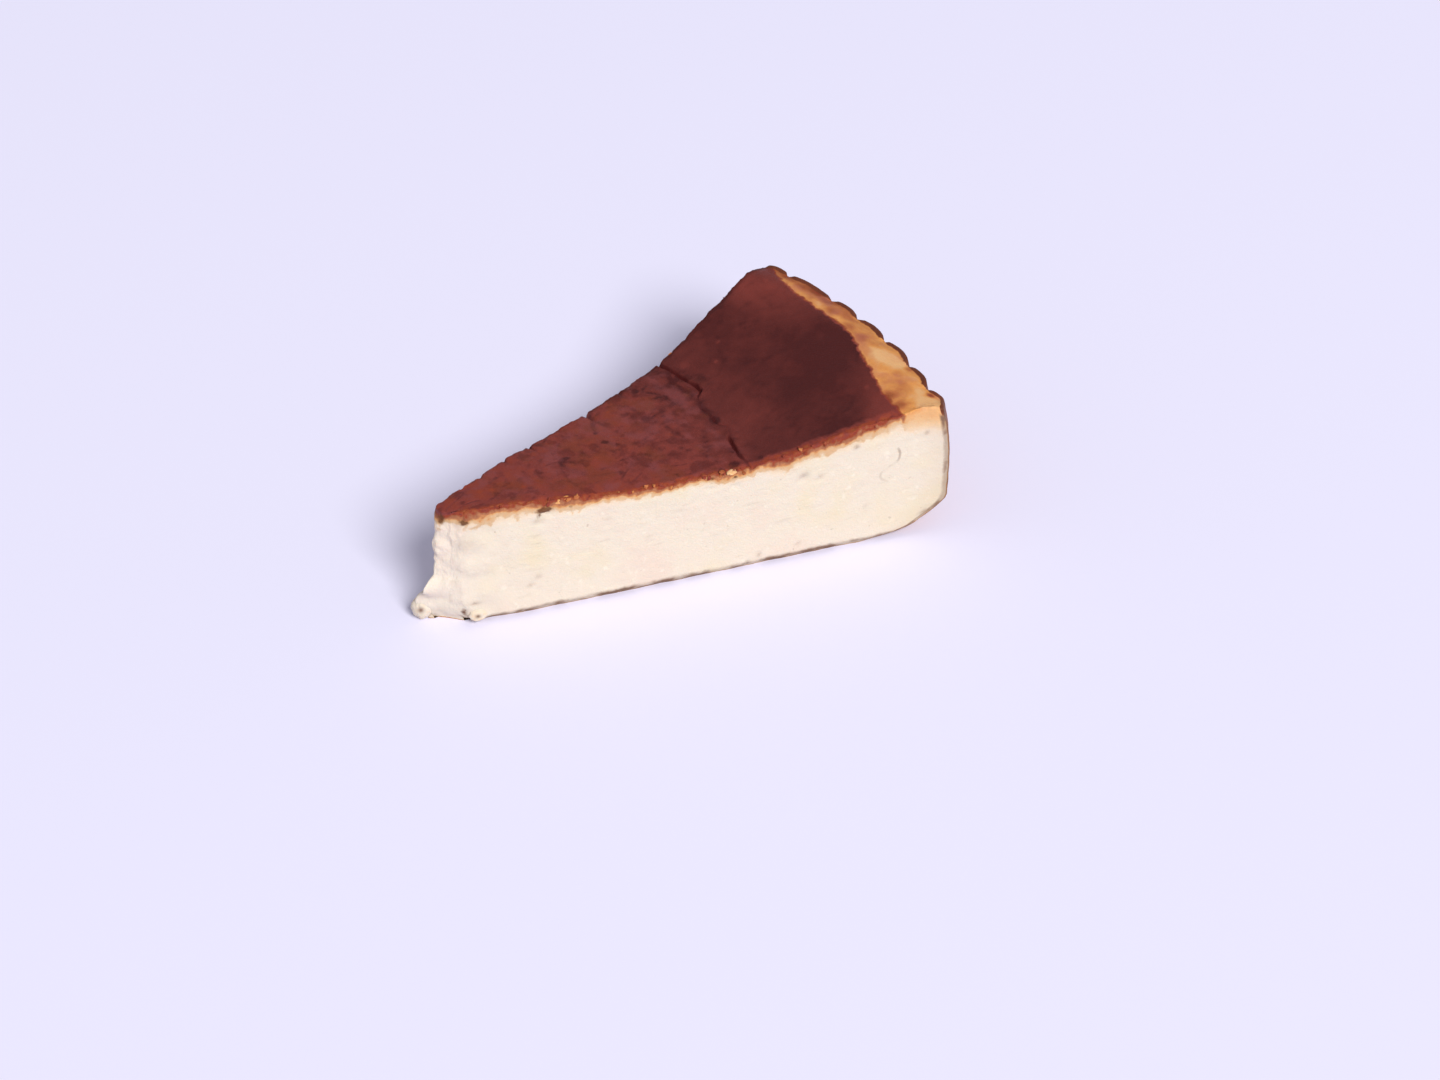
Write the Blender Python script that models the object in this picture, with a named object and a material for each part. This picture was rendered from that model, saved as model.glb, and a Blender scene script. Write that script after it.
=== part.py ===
"""A cut slice of burnt basque cheesecake, lying on its base, as one closed solid.

Every form is worked out from the middle of the whole cake. Radius runs from there through the slice to the
pleated outer wall, and share runs across the slice, from -1 on the near cut to +1 on the far cut. An empty
at the middle of the whole cake carries the slice, so that the world's origin lies under the slice's middle.
"""

import math
from collections import namedtuple

import bmesh
import bpy
from mathutils import Matrix, Vector, noise

MM = 0.001

# The whole cake, and the wedge cut from it
CAKE_RADIUS = 125 * MM
SLICE_ANGLE = math.radians(31.5)
CAKE_CENTRE = Vector((-66.49 * MM, 0.135 * MM, 0.0))

# The top along one cut: level at the nose, sinking to a hollow, then rising past the crack to the rim
TopLine = namedtuple("TopLine", "nose sinks hollow_from hollow rises crest_at crest edge")
NEAR_TOP = TopLine(31.0 * MM, 20 * MM, 53 * MM, 28.0 * MM, 80 * MM, 119 * MM, 34.4 * MM, 33.4 * MM)
FAR_TOP = TopLine(30.4 * MM, 30 * MM, 60 * MM, 28.5 * MM, 84 * MM, 118 * MM, 37.8 * MM, 36.4 * MM)
TYPICAL_TOP = 31 * MM

# The crack that runs across the top, the fold beside it, the nick in the far edge and the pit in the near one
CRACK_NEAR = 79.4 * MM
CRACK_FAR = 86.4 * MM
CRACK_BENDS_BETWEEN = (-0.35, 0.50)
CRACK_WANDER = 0.8 * MM
CRACK_DEPTH = 1.5 * MM
CRACK_FAINT_DEPTH = 0.5 * MM
CRACK_OPEN_BEYOND = (-0.5, 0.35)
FOLD_BEHIND_CRACK = 4.2 * MM
FOLD_DEPTH = 0.6 * MM
FOLD_WIDTH = 1.6 * MM
NICK_AT = 60 * MM
NICK_DEPTH = 0.9 * MM
NICK_WIDTH = 1.6 * MM
PIT_AT = 31.5 * MM
PIT_DEPTH = 1.6 * MM
PIT_WIDTH = 2.2 * MM

# The outer wall: a low belly, a rounded foot, and the pleats that the folded baking paper left
BELLY = 2.2 * MM
BELLY_HEIGHT = 17 * MM
MID_BULGE = 1.7 * MM
FOOT_HEIGHT = 10 * MM
FOOT_DEPTH = 11.5 * MM
FOOT_ROUNDNESS = 1.5
PLEATS = 6.5
PLEAT_VALLEY = 1 / 13
PLEAT_BOW = math.radians(0.4)
PLEAT_DEPTH = 1.9 * MM
PLEAT_SHARPNESS = 0.6
PLEAT_LEFT_AT_FOOT = 0.25
PLEAT_ON_RIM = 0.7 * MM
RIM_WIDTH = 12 * MM

# The blunt nose, where the tip of the wedge has crumbled away, and the ledges it has left towards the base
NOSE_NEAR = 14.2 * MM
NOSE_FAR = 11.6 * MM
NOSE_ROUNDING = 2.6 * MM
NEAR_CORNER_LOST = 1.6 * MM
NEAR_CORNER_HEIGHT = 7 * MM
NOSE_TUCK = 1.8 * MM
NOSE_TUCK_HEIGHT = 3.0 * MM
Ledge = namedtuple("Ledge", "reach full_below none_above")
NOSE_LEDGES = (
    Ledge(2.6 * MM, 21 * MM, 28 * MM),
    Ledge(1.8 * MM, 9.5 * MM, 13.5 * MM),
)
TOE_SWELL = 4.0 * MM
TOE_LENGTH = (7 * MM, 18 * MM)
TOE_HEIGHT = (5.5 * MM, 11 * MM)

# How uneven each surface is
SKIN_WRINKLE = 0.30 * MM
SKIN_WRINKLE_LENGTH = 7 * MM
CUT_RIPPLE = 0.20 * MM
CUT_RIPPLE_LENGTH = 9 * MM
NOSE_RIPPLE = 0.9 * MM
NOSE_RIPPLE_LENGTH = 5 * MM
NOSE_RIPPLE_FADES = 30 * MM
EDGE_CRUMBLE = 0.75 * MM
EDGE_CRUMBLE_LENGTH = 4.5 * MM
EDGE_BAND = 0.92
BASE_EDGE_TUCK = 0.9 * MM
BASE_EDGE_HEIGHT = 1.6 * MM

# Crumbs stuck to the nose: centre in the whole cake, and half sizes
Crumb = namedtuple("Crumb", "x y z length width height")
CRUMBS = (
    Crumb(6.3 * MM, 5.0 * MM, 3.0 * MM, 2.9 * MM, 2.9 * MM, 3.1 * MM),
    Crumb(9.9 * MM, 2.9 * MM, 9.4 * MM, 3.2 * MM, 3.2 * MM, 3.2 * MM),
    Crumb(16.6 * MM, -3.7 * MM, 2.7 * MM, 2.0 * MM, 1.4 * MM, 1.8 * MM),
)
CRUMB_LUMPINESS = 0.12
CRUMB_DETAIL = 3

# How finely the block is divided: columns from nose to crack and from crack to wall, ribs across, rows up
TIP_COLUMNS = 38
RIM_COLUMNS = 24
RIBS = 26
FOOT_ROWS = 7
BODY_ROWS = 6
CRUST_ROW = 0.955
CRACK_HALF_WIDTH = 0.8 * MM
SPARE_BASE = 1 * MM
PLATE_SIZE = 300 * MM

BURNT_CRUST = (0.130, 0.028, 0.024)
BAKED_CREAM = (0.930, 0.790, 0.690)
BROWNED_SKIN = (0.520, 0.300, 0.170)


def mix(start, end, amount):
    return start + (end - start) * amount


def smooth_step(start, end, value):
    """0 up to start, 1 from end on, and a smooth change between."""
    amount = min(max((value - start) / (end - start), 0.0), 1.0)
    return amount * amount * (3 - 2 * amount)


def dip(distance, width):
    """A soft hollow: 1 in its middle, and close to 0 at its width."""
    return math.exp(-3 * (distance / width) ** 2)


def unevenness(point, wavelength, kind):
    """Smooth random relief from -1 to 1; each kind of surface has its own."""
    return noise.noise(point / wavelength + Vector((0, 0, 17.3 * kind)))


def angle_at(share):
    return share * SLICE_ANGLE / 2 + PLEAT_BOW * (1 - share * share)


def towards_far(near, far, share):
    """A size that changes evenly from the near cut to the far cut."""
    return mix(near, far, (share + 1) / 2)


def top_height(radius, share):
    line = TopLine(*(towards_far(near, far, share) for near, far in zip(NEAR_TOP, FAR_TOP)))
    height = mix(line.nose, line.hollow, smooth_step(line.sinks, line.hollow_from, radius))
    if radius > line.rises:
        climb = (min(radius, line.crest_at) - line.rises) / (line.crest_at - line.rises)
        height = mix(height, line.crest, mix(climb, smooth_step(0, 1, climb), 0.5))
    if radius > line.crest_at:
        fall = (radius - line.crest_at) / (CAKE_RADIUS - line.crest_at)
        height -= (line.crest - line.edge) * fall * fall
    return height


def crack_radius(share):
    wander = CRACK_WANDER * unevenness(Vector((share, 0, 0)), 0.22, 4)
    return mix(CRACK_NEAR, CRACK_FAR, smooth_step(*CRACK_BENDS_BETWEEN, share)) + wander


def crack_depth(share):
    """The crack gapes near both cuts and is faint in the middle."""
    near_end, far_end = CRACK_OPEN_BEYOND
    gape = 1 - smooth_step(near_end - 0.2, near_end, share) + smooth_step(far_end, far_end + 0.15, share)
    return mix(CRACK_FAINT_DEPTH, CRACK_DEPTH, gape)


def pleat(share):
    """1 on the crown of each lobe of the wall, and 0 in the sharp valleys between them."""
    phase = (share - PLEAT_VALLEY) * PLEATS / 2
    return abs(math.sin(math.pi * phase)) ** PLEAT_SHARPNESS


def wall_radius(share, level):
    """The outer wall at a level above the base."""
    above_belly = max(level - BELLY_HEIGHT, 0.0) / (TYPICAL_TOP - BELLY_HEIGHT)
    radius = CAKE_RADIUS + MID_BULGE * (1 - share * share) + BELLY * (1 - above_belly ** 2)
    tuck = max(1 - level / FOOT_HEIGHT, 0.0) ** FOOT_ROUNDNESS
    strength = mix(PLEAT_LEFT_AT_FOOT, 1.0, smooth_step(0, TYPICAL_TOP, level))
    return radius - FOOT_DEPTH * tuck + PLEAT_DEPTH * strength * (pleat(share) - 0.5)


def nose_radius(share, level):
    """The blunt end: ledges step out on its far side towards the base, its near corner is worn away, and it
    turns under where it meets the plate."""
    ledges = sum(
        ledge.reach * (1 - smooth_step(ledge.full_below, ledge.none_above, level)) for ledge in NOSE_LEDGES
    )
    worn = NEAR_CORNER_LOST * (1 - smooth_step(0, NEAR_CORNER_HEIGHT, level))
    tuck = NOSE_TUCK * (1 - smooth_step(0, NOSE_TUCK_HEIGHT, level))
    rounding = NOSE_ROUNDING * math.sqrt(1 - share * share)
    return towards_far(NOSE_NEAR + worn, NOSE_FAR - ledges, share) + tuck - rounding


def top_relief(radius, share, place):
    """What the top loses to the crack, its fold, the nick, the pit, the pleats and the skin's wrinkles."""
    from_crack = radius - crack_radius(share)
    relief = crack_depth(share) * max(1 - abs(from_crack) / CRACK_HALF_WIDTH, 0.0)
    fold_reach = smooth_step(0.2, 0.5, share) * (1 - smooth_step(0.8, 1.0, share))
    relief += FOLD_DEPTH * fold_reach * dip(from_crack + FOLD_BEHIND_CRACK, FOLD_WIDTH)
    relief += NICK_DEPTH * smooth_step(0.6, 1.0, share) * dip(radius - NICK_AT, NICK_WIDTH)
    relief += PIT_DEPTH * smooth_step(0.8, 1.0, -share) * dip(radius - PIT_AT, PIT_WIDTH)
    relief += PLEAT_ON_RIM * (1 - pleat(share)) * smooth_step(CAKE_RADIUS - RIM_WIDTH, CAKE_RADIUS, radius)
    relief += SKIN_WRINKLE * unevenness(place, SKIN_WRINKLE_LENGTH, 1)
    edge = smooth_step(EDGE_BAND, 1.0, abs(share))
    return relief + EDGE_CRUMBLE * edge * (0.4 + unevenness(place, EDGE_CRUMBLE_LENGTH, 2))


def cut_relief(radius, share, level, place):
    """How far a cut face stands out of its plane: faint ripples, a lumpy nose, and a tucked-in base edge."""
    near_nose = 1 - smooth_step(NOSE_NEAR, NOSE_RIPPLE_FADES, radius)
    relief = CUT_RIPPLE * unevenness(place, CUT_RIPPLE_LENGTH, 3)
    relief += NOSE_RIPPLE * near_nose * unevenness(place, NOSE_RIPPLE_LENGTH, 5)
    relief -= BASE_EDGE_TUCK * (1 + near_nose) * (1 - smooth_step(0, BASE_EDGE_HEIGHT, level))
    return relief * abs(share) ** mix(8, 1, near_nose)


def toe_swell(radius, share, level):
    """The smeared toe bulges out past the far cut."""
    fading = (1 - smooth_step(*TOE_LENGTH, radius)) * (1 - smooth_step(*TOE_HEIGHT, level))
    return towards_far(0.0, TOE_SWELL, share) * fading


def slice_point(length, share, height):
    """Where a point of the block goes: length 0 is the nose, 1 the crack, and 2 the outer wall."""
    level = height * TYPICAL_TOP
    crack = crack_radius(share)
    if length < 1:
        nose = nose_radius(share, level)
        bump = Vector((nose, nose * angle_at(share), level))
        nose -= NOSE_RIPPLE * unevenness(bump, NOSE_RIPPLE_LENGTH, 6)
        radius = mix(nose, crack, length)
    else:
        radius = mix(crack, wall_radius(share, level), length - 1)
    angle = angle_at(share)
    outward = Vector((math.cos(angle), math.sin(angle), 0.0))
    across = Vector((-math.sin(angle), math.cos(angle), 0.0))
    place = radius * outward + Vector((0, 0, level))
    sideways = cut_relief(radius, share, level, place) * math.copysign(1, share)
    sideways += toe_swell(radius, share, level)
    place += across * sideways
    place.z = height * (top_height(radius, share) - height ** 6 * top_relief(radius, share, place))
    return place


def cut_block(block, axis, stations):
    """Slice the block square to an axis at each station, which leaves it in one piece."""
    normal = Vector((0, 0, 0))
    normal[axis] = 1.0
    for station in stations:
        everything = block.verts[:] + block.edges[:] + block.faces[:]
        bmesh.ops.bisect_plane(block, geom=everything, plane_co=normal * station, plane_no=normal)


def length_stations():
    """Even columns on each side of the crack, which lies at 1, and one along each of its lips."""
    tip_lip = CRACK_HALF_WIDTH / (CRACK_NEAR - NOSE_NEAR)
    rim_lip = CRACK_HALF_WIDTH / (CAKE_RADIUS - CRACK_NEAR)
    tip = [column / TIP_COLUMNS for column in range(1, TIP_COLUMNS)]
    rim = [1 + column / RIM_COLUMNS for column in range(1, RIM_COLUMNS)]
    return tip + [1 - tip_lip, 1.0, 1 + rim_lip] + rim


def height_stations():
    """Rows crowd towards the rounded foot, and one marks the underside of the crust."""
    foot = [0.5 * (row / FOOT_ROWS) ** 2 for row in range(1, FOOT_ROWS + 1)]
    body = [mix(0.5, CRUST_ROW, row / BODY_ROWS) for row in range(1, BODY_ROWS + 1)]
    return foot + body


def wedge_mesh():
    """The wedge, bent from an evenly cut block, with a little to spare under its base."""
    block = bmesh.new()
    bmesh.ops.create_cube(block, size=1.0)
    for vertex in block.verts:
        vertex.co = Vector((vertex.co.x * 2 + 1, vertex.co.y * 2, vertex.co.z + 0.5))
    cut_block(block, 0, length_stations())
    cut_block(block, 1, [2 * rib / RIBS - 1 for rib in range(1, RIBS)])
    cut_block(block, 2, height_stations())
    for vertex in block.verts:
        length, share, height = vertex.co
        vertex.co = slice_point(length, share, height)
        if height < 0.001:
            vertex.co.z = -SPARE_BASE
    return block


def crumb_mesh(crumb, number):
    """One lump that has broken loose and stuck to the nose."""
    lump = bmesh.new()
    bmesh.ops.create_icosphere(lump, subdivisions=CRUMB_DETAIL, radius=1.0)
    half_sizes = Matrix.Diagonal((crumb.length, crumb.width, crumb.height))
    for vertex in lump.verts:
        bump = 1 + CRUMB_LUMPINESS * unevenness(vertex.co, 0.8, 10 + number)
        vertex.co = half_sizes @ vertex.co * bump + Vector((crumb.x, crumb.y, crumb.z))
    return lump


def plate_mesh():
    """A block whose top is the surface that the slice stands on."""
    block = bmesh.new()
    bmesh.ops.create_cube(block, size=PLATE_SIZE)
    bmesh.ops.translate(block, verts=block.verts, vec=(PLATE_SIZE / 4, 0, -PLATE_SIZE / 2))
    return block


def add_object(name, shape, collection, parent):
    mesh = bpy.data.meshes.new(name)
    shape.to_mesh(mesh)
    shape.free()
    piece = bpy.data.objects.new(name, mesh)
    piece.parent = parent
    collection.objects.link(piece)
    return piece


def add_collection(name):
    collection = bpy.data.collections.new(name)
    bpy.context.scene.collection.children.link(collection)
    return collection


def combine(piece, operation, others):
    """Join the others to a piece, or cut them away, and then clear them off."""
    boolean = piece.modifiers.new(operation.lower(), "BOOLEAN")
    boolean.operation = operation
    boolean.operand_type = "COLLECTION"
    boolean.collection = others
    boolean.solver = "EXACT"
    evaluated = piece.evaluated_get(bpy.context.evaluated_depsgraph_get())
    result = bpy.data.meshes.new_from_object(evaluated)
    piece.modifiers.remove(boolean)
    piece.data = result
    for other in list(others.objects):
        bpy.data.objects.remove(other)
    bpy.data.collections.remove(others)


def matte_material(name, colour, roughness):
    material = bpy.data.materials.new(name)
    material.use_nodes = True
    shader = material.node_tree.nodes["Principled BSDF"]
    shader.inputs["Base Color"].default_value = (*colour, 1.0)
    shader.inputs["Roughness"].default_value = roughness
    shader.inputs["Metallic"].default_value = 0.0
    return material


def finish(piece):
    """Burnt crust above, browned skin on the wall and base, and pale baked cream on the cuts and the nose."""
    piece.data.materials.clear()
    piece.data.materials.append(matte_material("baked cream", BAKED_CREAM, 0.55))
    piece.data.materials.append(matte_material("burnt crust", BURNT_CRUST, 0.45))
    piece.data.materials.append(matte_material("browned skin", BROWNED_SKIN, 0.60))
    for face in piece.data.polygons:
        middle = face.center
        from_middle = Vector((middle.x, middle.y, 0)).normalized()
        outer_wall = face.normal.dot(from_middle) > 0.5 and middle.x > CAKE_RADIUS / 2
        face.material_index = 0
        if face.normal.z > 0.6 and middle.z > NEAR_TOP.hollow - PIT_DEPTH - EDGE_CRUMBLE:
            face.material_index = 1
        elif outer_wall or face.normal.z < -0.9:
            face.material_index = 2
    piece.data.shade_smooth()
    piece.data.set_sharp_from_angle(angle=math.radians(35))


def build():
    for old in list(bpy.data.objects):
        bpy.data.objects.remove(old)
    cake = add_collection("basque cheesecake")
    centre = bpy.data.objects.new("cake_centre", None)
    centre.location = CAKE_CENTRE
    cake.objects.link(centre)
    wedge = add_object("cheesecake_slice", wedge_mesh(), cake, centre)
    crumbs = add_collection("crumbs")
    for number, crumb in enumerate(CRUMBS):
        add_object(f"crumb_{number}", crumb_mesh(crumb, number), crumbs, centre)
    combine(wedge, "UNION", crumbs)
    plate = add_collection("plate")
    add_object("plate", plate_mesh(), plate, centre)
    combine(wedge, "DIFFERENCE", plate)
    finish(wedge)


build()
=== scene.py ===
"""The look of a burnt basque cheesecake slice: one finely modelled piece, its loose crumbs, a floor, soft
light and the camera.

Forms are worked out from the middle of the whole cake. Radius runs from there through the slice to the
pleated outer wall, and share runs across the slice, from -1 on the near cut to +1 on the far cut.
"""

import math
from collections import namedtuple
from functools import cached_property, lru_cache

import bmesh
import bpy
from mathutils import Matrix, Vector, noise


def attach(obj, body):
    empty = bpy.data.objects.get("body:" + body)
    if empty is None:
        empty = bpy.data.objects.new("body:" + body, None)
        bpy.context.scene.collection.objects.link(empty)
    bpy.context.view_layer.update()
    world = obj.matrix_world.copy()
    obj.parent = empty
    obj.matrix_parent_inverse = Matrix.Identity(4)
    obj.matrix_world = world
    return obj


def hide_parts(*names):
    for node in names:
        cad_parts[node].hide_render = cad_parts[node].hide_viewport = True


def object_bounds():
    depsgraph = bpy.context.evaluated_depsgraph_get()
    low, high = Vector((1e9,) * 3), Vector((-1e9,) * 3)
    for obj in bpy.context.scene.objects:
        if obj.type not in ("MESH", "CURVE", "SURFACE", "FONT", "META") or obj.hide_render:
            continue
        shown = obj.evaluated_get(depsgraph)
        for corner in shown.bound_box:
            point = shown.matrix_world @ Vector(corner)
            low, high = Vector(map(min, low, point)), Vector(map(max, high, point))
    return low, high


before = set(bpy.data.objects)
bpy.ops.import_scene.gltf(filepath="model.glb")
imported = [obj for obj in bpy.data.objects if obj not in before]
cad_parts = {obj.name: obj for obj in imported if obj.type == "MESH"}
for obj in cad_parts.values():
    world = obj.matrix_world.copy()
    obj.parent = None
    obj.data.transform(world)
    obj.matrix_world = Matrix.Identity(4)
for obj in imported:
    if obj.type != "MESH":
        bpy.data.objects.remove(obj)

SOLID_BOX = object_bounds()
MM = 0.001

# The whole cake, and the wedge cut from it
CAKE_RADIUS = 125 * MM
SLICE_ANGLE = math.radians(31.5)
CAKE_CENTRE = Vector((-66.49 * MM, 0.135 * MM, 0.0))

# The top along one cut: level at the nose, sinking to a hollow, then rising past the crack to the rim
TopLine = namedtuple("TopLine", "nose sinks hollow_from hollow rises crest_at crest edge")
NEAR_TOP = TopLine(31.0 * MM, 20 * MM, 53 * MM, 28.0 * MM, 80 * MM, 119 * MM, 34.4 * MM, 33.4 * MM)
FAR_TOP = TopLine(31.2 * MM, 30 * MM, 60 * MM, 28.9 * MM, 84 * MM, 118 * MM, 38.0 * MM, 36.6 * MM)
TYPICAL_TOP = 31 * MM

# The crack that runs across the top: share across the slice, radius in millimetres, and how wide it gapes
CRACK = (
    (-1.00, 79.6, 0.30), (-0.88, 79.4, 0.38), (-0.78, 79.0, 0.70), (-0.64, 79.2, 1.00), (-0.48, 79.6, 0.90),
    (-0.42, 80.4, 0.25), (-0.29, 81.5, 0.12), (-0.22, 80.0, 0.35), (-0.12, 80.3, 0.60), (-0.03, 80.5, 0.20),
    (0.03, 80.6, 0.20), (0.12, 80.3, 0.50), (0.20, 81.2, 0.20), (0.30, 82.6, 0.45), (0.35, 84.6, 0.95),
    (0.44, 84.9, 1.00), (0.55, 84.7, 0.70), (0.62, 84.8, 0.95), (0.80, 85.0, 0.80), (1.00, 85.2, 1.00),
)
TYPICAL_CRACK = 81 * MM
CRACK_WANDER = 0.22 * MM
CRACK_DEPTH = 1.0 * MM
CRACK_HALF_WIDTH = (0.40 * MM, 0.74 * MM)
CRACK_FAINT_DEPTH = 0.12 * MM
CRACK_LIP = 0.08 * MM
CRACK_LIP_REACH = 2.2 * MM
FOLD_BEHIND_CRACK = 2.7 * MM
FOLD_DEPTH = 0.5 * MM
FOLD_WIDTH = 0.8 * MM
FOLD_STARTS = (0.28, 0.45)
FOLD_ENDS = (0.72, 0.88)

# Nicks in the far edge, each a radius, depth and width, and the pit in the near one
NICKS = (
    (59.5, 1.2, 1.1), (40.2, 0.55, 0.8), (32.0, 0.6, 0.8), (24.0, 0.35, 0.6), (50.0, 0.25, 0.7),
    (71.0, 0.4, 0.9),
)
PIT_AT = 31.5 * MM
PIT_DEPTH = 0.9 * MM
PIT_WIDTH = 1.8 * MM

# The outer wall: a low belly, a rounded foot, and the pleats that the folded baking paper left
BELLY = 2.2 * MM
BELLY_HEIGHT = 17 * MM
MID_BULGE = 1.7 * MM
FOOT_HEIGHT = 8.5 * MM
FOOT_DEPTH = 13 * MM
FOOT_ROUNDNESS = 1.4
FOOT_FLARE = 8 * MM
FOOT_FLARE_HEIGHT = 2.8 * MM
PLEAT_VALLEYS = (-1.10, -0.755, -0.49, -0.175, 0.13, 0.385, 0.80, 1.0)
CORNER_LOBE = 1.3 * MM
CORNER_LOBE_AT = -0.87
CORNER_LOBE_WIDTH = 0.13
PLEAT_BOW = math.radians(0.4)
PLEAT_DEPTH = 1.9 * MM
PLEAT_SHARPNESS = 0.6
PLEAT_LEFT_AT_FOOT = 0.25
PLEAT_LEFT_AT_FAR_END = 0.65
PLEAT_ON_RIM = 0.4 * MM
RIM_WIDTH = 4.5 * MM
LIP_CURL = 0.65 * MM
LIP_WIDTH = 1.5 * MM
PAPER_CREASE = 0.35 * MM
PAPER_CREASE_LENGTH = 3.2 * MM
PAPER_CREASE_WIDTH = 0.22
PAPER_CREASE_FADES = 26 * MM
WALL_GRAIN = 0.10 * MM
WALL_GRAIN_LENGTH = 1.6 * MM
WALL_HALF_LENGTH = 34 * MM

# The blunt nose, where the tip of the wedge has crumbled away, and the ledges it has left towards the base
NOSE_NEAR = 14.2 * MM
NOSE_FAR = 10.5 * MM
NOSE_ROUNDING = 2.6 * MM
NEAR_CORNER_LOST = 1.6 * MM
NEAR_CORNER_HEIGHT = 7 * MM
NOSE_TUCK = 1.8 * MM
NOSE_TUCK_HEIGHT = 3.0 * MM
# Each ledge: how far it reaches, the level below which it is full, and the level above which it is gone
NOSE_LEDGES = ((1.4 * MM, 21 * MM, 28 * MM), (2.4 * MM, 11.0 * MM, 13.6 * MM))
# Lumps of curd on the nose: share across it and level, half size and how far each stands out, in millimetres
NOSE_LUMPS = (
    (0.90, 11.2, 2.4, 1.3), (0.10, 9.0, 1.9, 0.9), (-0.45, 11.5, 1.6, 0.7), (0.45, 15.0, 1.8, 0.4),
    (0.90, 20.0, 1.8, -0.4), (0.10, 21.0, 1.7, 0.5), (-0.60, 17.6, 1.8, 0.5), (0.70, 5.2, 2.0, 0.8),
    (-0.20, 4.6, 1.7, 0.7), (-0.80, 24.8, 1.4, 0.4), (0.35, 26.6, 1.6, 0.4), (-0.85, 7.2, 1.3, 0.5),
)
NOSE_HALF_WIDTH = 3.3
TOE_SWELL = 4.0 * MM
TOE_LENGTH = (7 * MM, 18 * MM)
TOE_HEIGHT = (5.5 * MM, 11 * MM)

# How uneven each surface is
SKIN_WRINKLE = 0.30 * MM
SKIN_WRINKLE_LENGTH = 7 * MM
CUT_RIPPLE = 0.20 * MM
CUT_RIPPLE_LENGTH = 9 * MM
CURD = 0.12 * MM
CURD_LENGTH = 2.1 * MM
NOSE_RIPPLE = 0.6 * MM
NOSE_RIPPLE_LENGTH = 4.2 * MM
NOSE_RIPPLE_FADES = 30 * MM
NOSE_FACE_RIPPLE = 0.30 * MM
NOSE_CLODS = 0.42 * MM
NOSE_CLOD_LENGTH = 3.0 * MM
EDGE_CRUMBLE = 0.75 * MM
EDGE_CRUMBLE_LENGTH = 4.5 * MM
EDGE_BAND = 0.92
FAR_EDGE_CRUMBLE = 0.45
EDGE_LOST = 0.40 * MM
EDGE_CHIP = 0.55 * MM
EDGE_CHIP_LENGTH = 1.7 * MM
EDGE_CHIP_LENGTH_FINE = 0.8 * MM
EDGE_HEIGHT = 1.5 * MM
BASE_EDGE_TUCK = 0.9 * MM
BASE_EDGE_HEIGHT = 1.6 * MM

# Fine creases and small pits in the burnt skin of the tip half
CREASE_DEPTH = 0.09 * MM
CREASE_LENGTH = 5.2 * MM
CREASE_WIDTH = 0.16
CREASE_SWIRL = 5 * MM
CREASE_SWIRL_LENGTH = 11 * MM
CREASE_PATCH_LENGTH = 6 * MM
PIN_PIT_DEPTH = 0.10 * MM
PIN_PIT_LENGTH = 2.1 * MM
SPOT_DEPTH = 0.08 * MM

# Brown spots in the skin: radius, angle in degrees, half size in millimetres, and strength
SKIN_SPOTS = (
    (73.5, 13.4, 0.9, 1.0), (72.7, 5.8, 0.8, 0.7), (68.2, 5.9, 1.1, 0.8), (71.8, 4.4, 0.7, 0.6),
    (76.4, 3.8, 1.0, 0.3), (64.3, -4.2, 0.9, 0.6), (68.3, -6.0, 0.8, 0.5), (69.8, -7.0, 0.6, 0.4),
    (45.9, 10.6, 0.8, 0.7), (41.4, 1.7, 0.9, 0.7), (76.6, -14.0, 1.2, 1.2), (80.5, -1.8, 1.1, 0.7),
    (64.6, 7.7, 0.6, 0.6), (73.3, -14.6, 0.7, 0.8), (69.8, -15.0, 0.8, 0.7), (83.0, -14.2, 0.8, 0.6),
    (30.5, -6.0, 0.7, 0.4), (26.0, 9.0, 0.6, 0.5), (59.6, 15.4, 0.9, 1.0), (40.2, 15.5, 0.7, 1.1),
    (32.0, 15.5, 0.8, 1.1), (24.0, 15.0, 0.6, 0.8), (71.0, 15.4, 0.8, 0.8),
)

# Creases in the skin: strength, half width in millimetres, and the radius and angle of each point
Line = namedtuple("Line", "strength half_width points")
SKIN_LINES = (
    Line(1.1, 0.45, ((58.9, 15.2), (59.9, 14.4), (57.8, 12.1), (55.6, 8.7))),
    Line(0.8, 0.40, ((83.4, 12.8), (82.1, 10.1), (81.9, 8.0), (82.0, 5.7))),
    Line(0.7, 0.30, ((75.1, 11.7), (76.4, 10.3), (77.5, 8.6))),
    Line(0.5, 0.35, ((66.3, 13.4), (68.5, 10.7), (68.3, 7.8))),
    Line(0.4, 0.55, ((70.0, 1.5), (70.1, -0.5), (70.6, -1.6))),
    Line(0.9, 0.35, ((54.6, 4.8), (55.7, 2.8), (57.0, 2.1))),
    Line(0.42, 0.80, ((81.3, 3.9), (80.8, 2.1), (80.5, 0.2), (80.3, -2.1))),
    Line(-0.4, 0.35, ((63.4, 12.8), (65.7, 11.5), (67.0, 9.4))),
    Line(-0.4, 0.35, ((59.2, 11.4), (57.0, 8.3), (57.2, 5.5), (58.8, 3.8))),
    Line(0.4, 0.35, ((50.5, -1.5), (53.5, -3.4), (58.0, -3.2), (61.5, -4.6))),
    Line(0.4, 0.35, ((44.0, -4.5), (47.5, -6.5), (52.0, -7.0))),
)

# How finely the block is divided
TIP_COLUMNS = 150
RIM_COLUMNS = 88
CRACK_COLUMNS = (0.22, 0.46, 0.75)
LIP_COLUMNS = (0.25, 0.55, 0.90, 1.30)
RIBS = 96
FOOT_ROWS = 16
BODY_ROWS = 36
CRUST_ROWS = 9
CRUST_STARTS = 0.90

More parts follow.
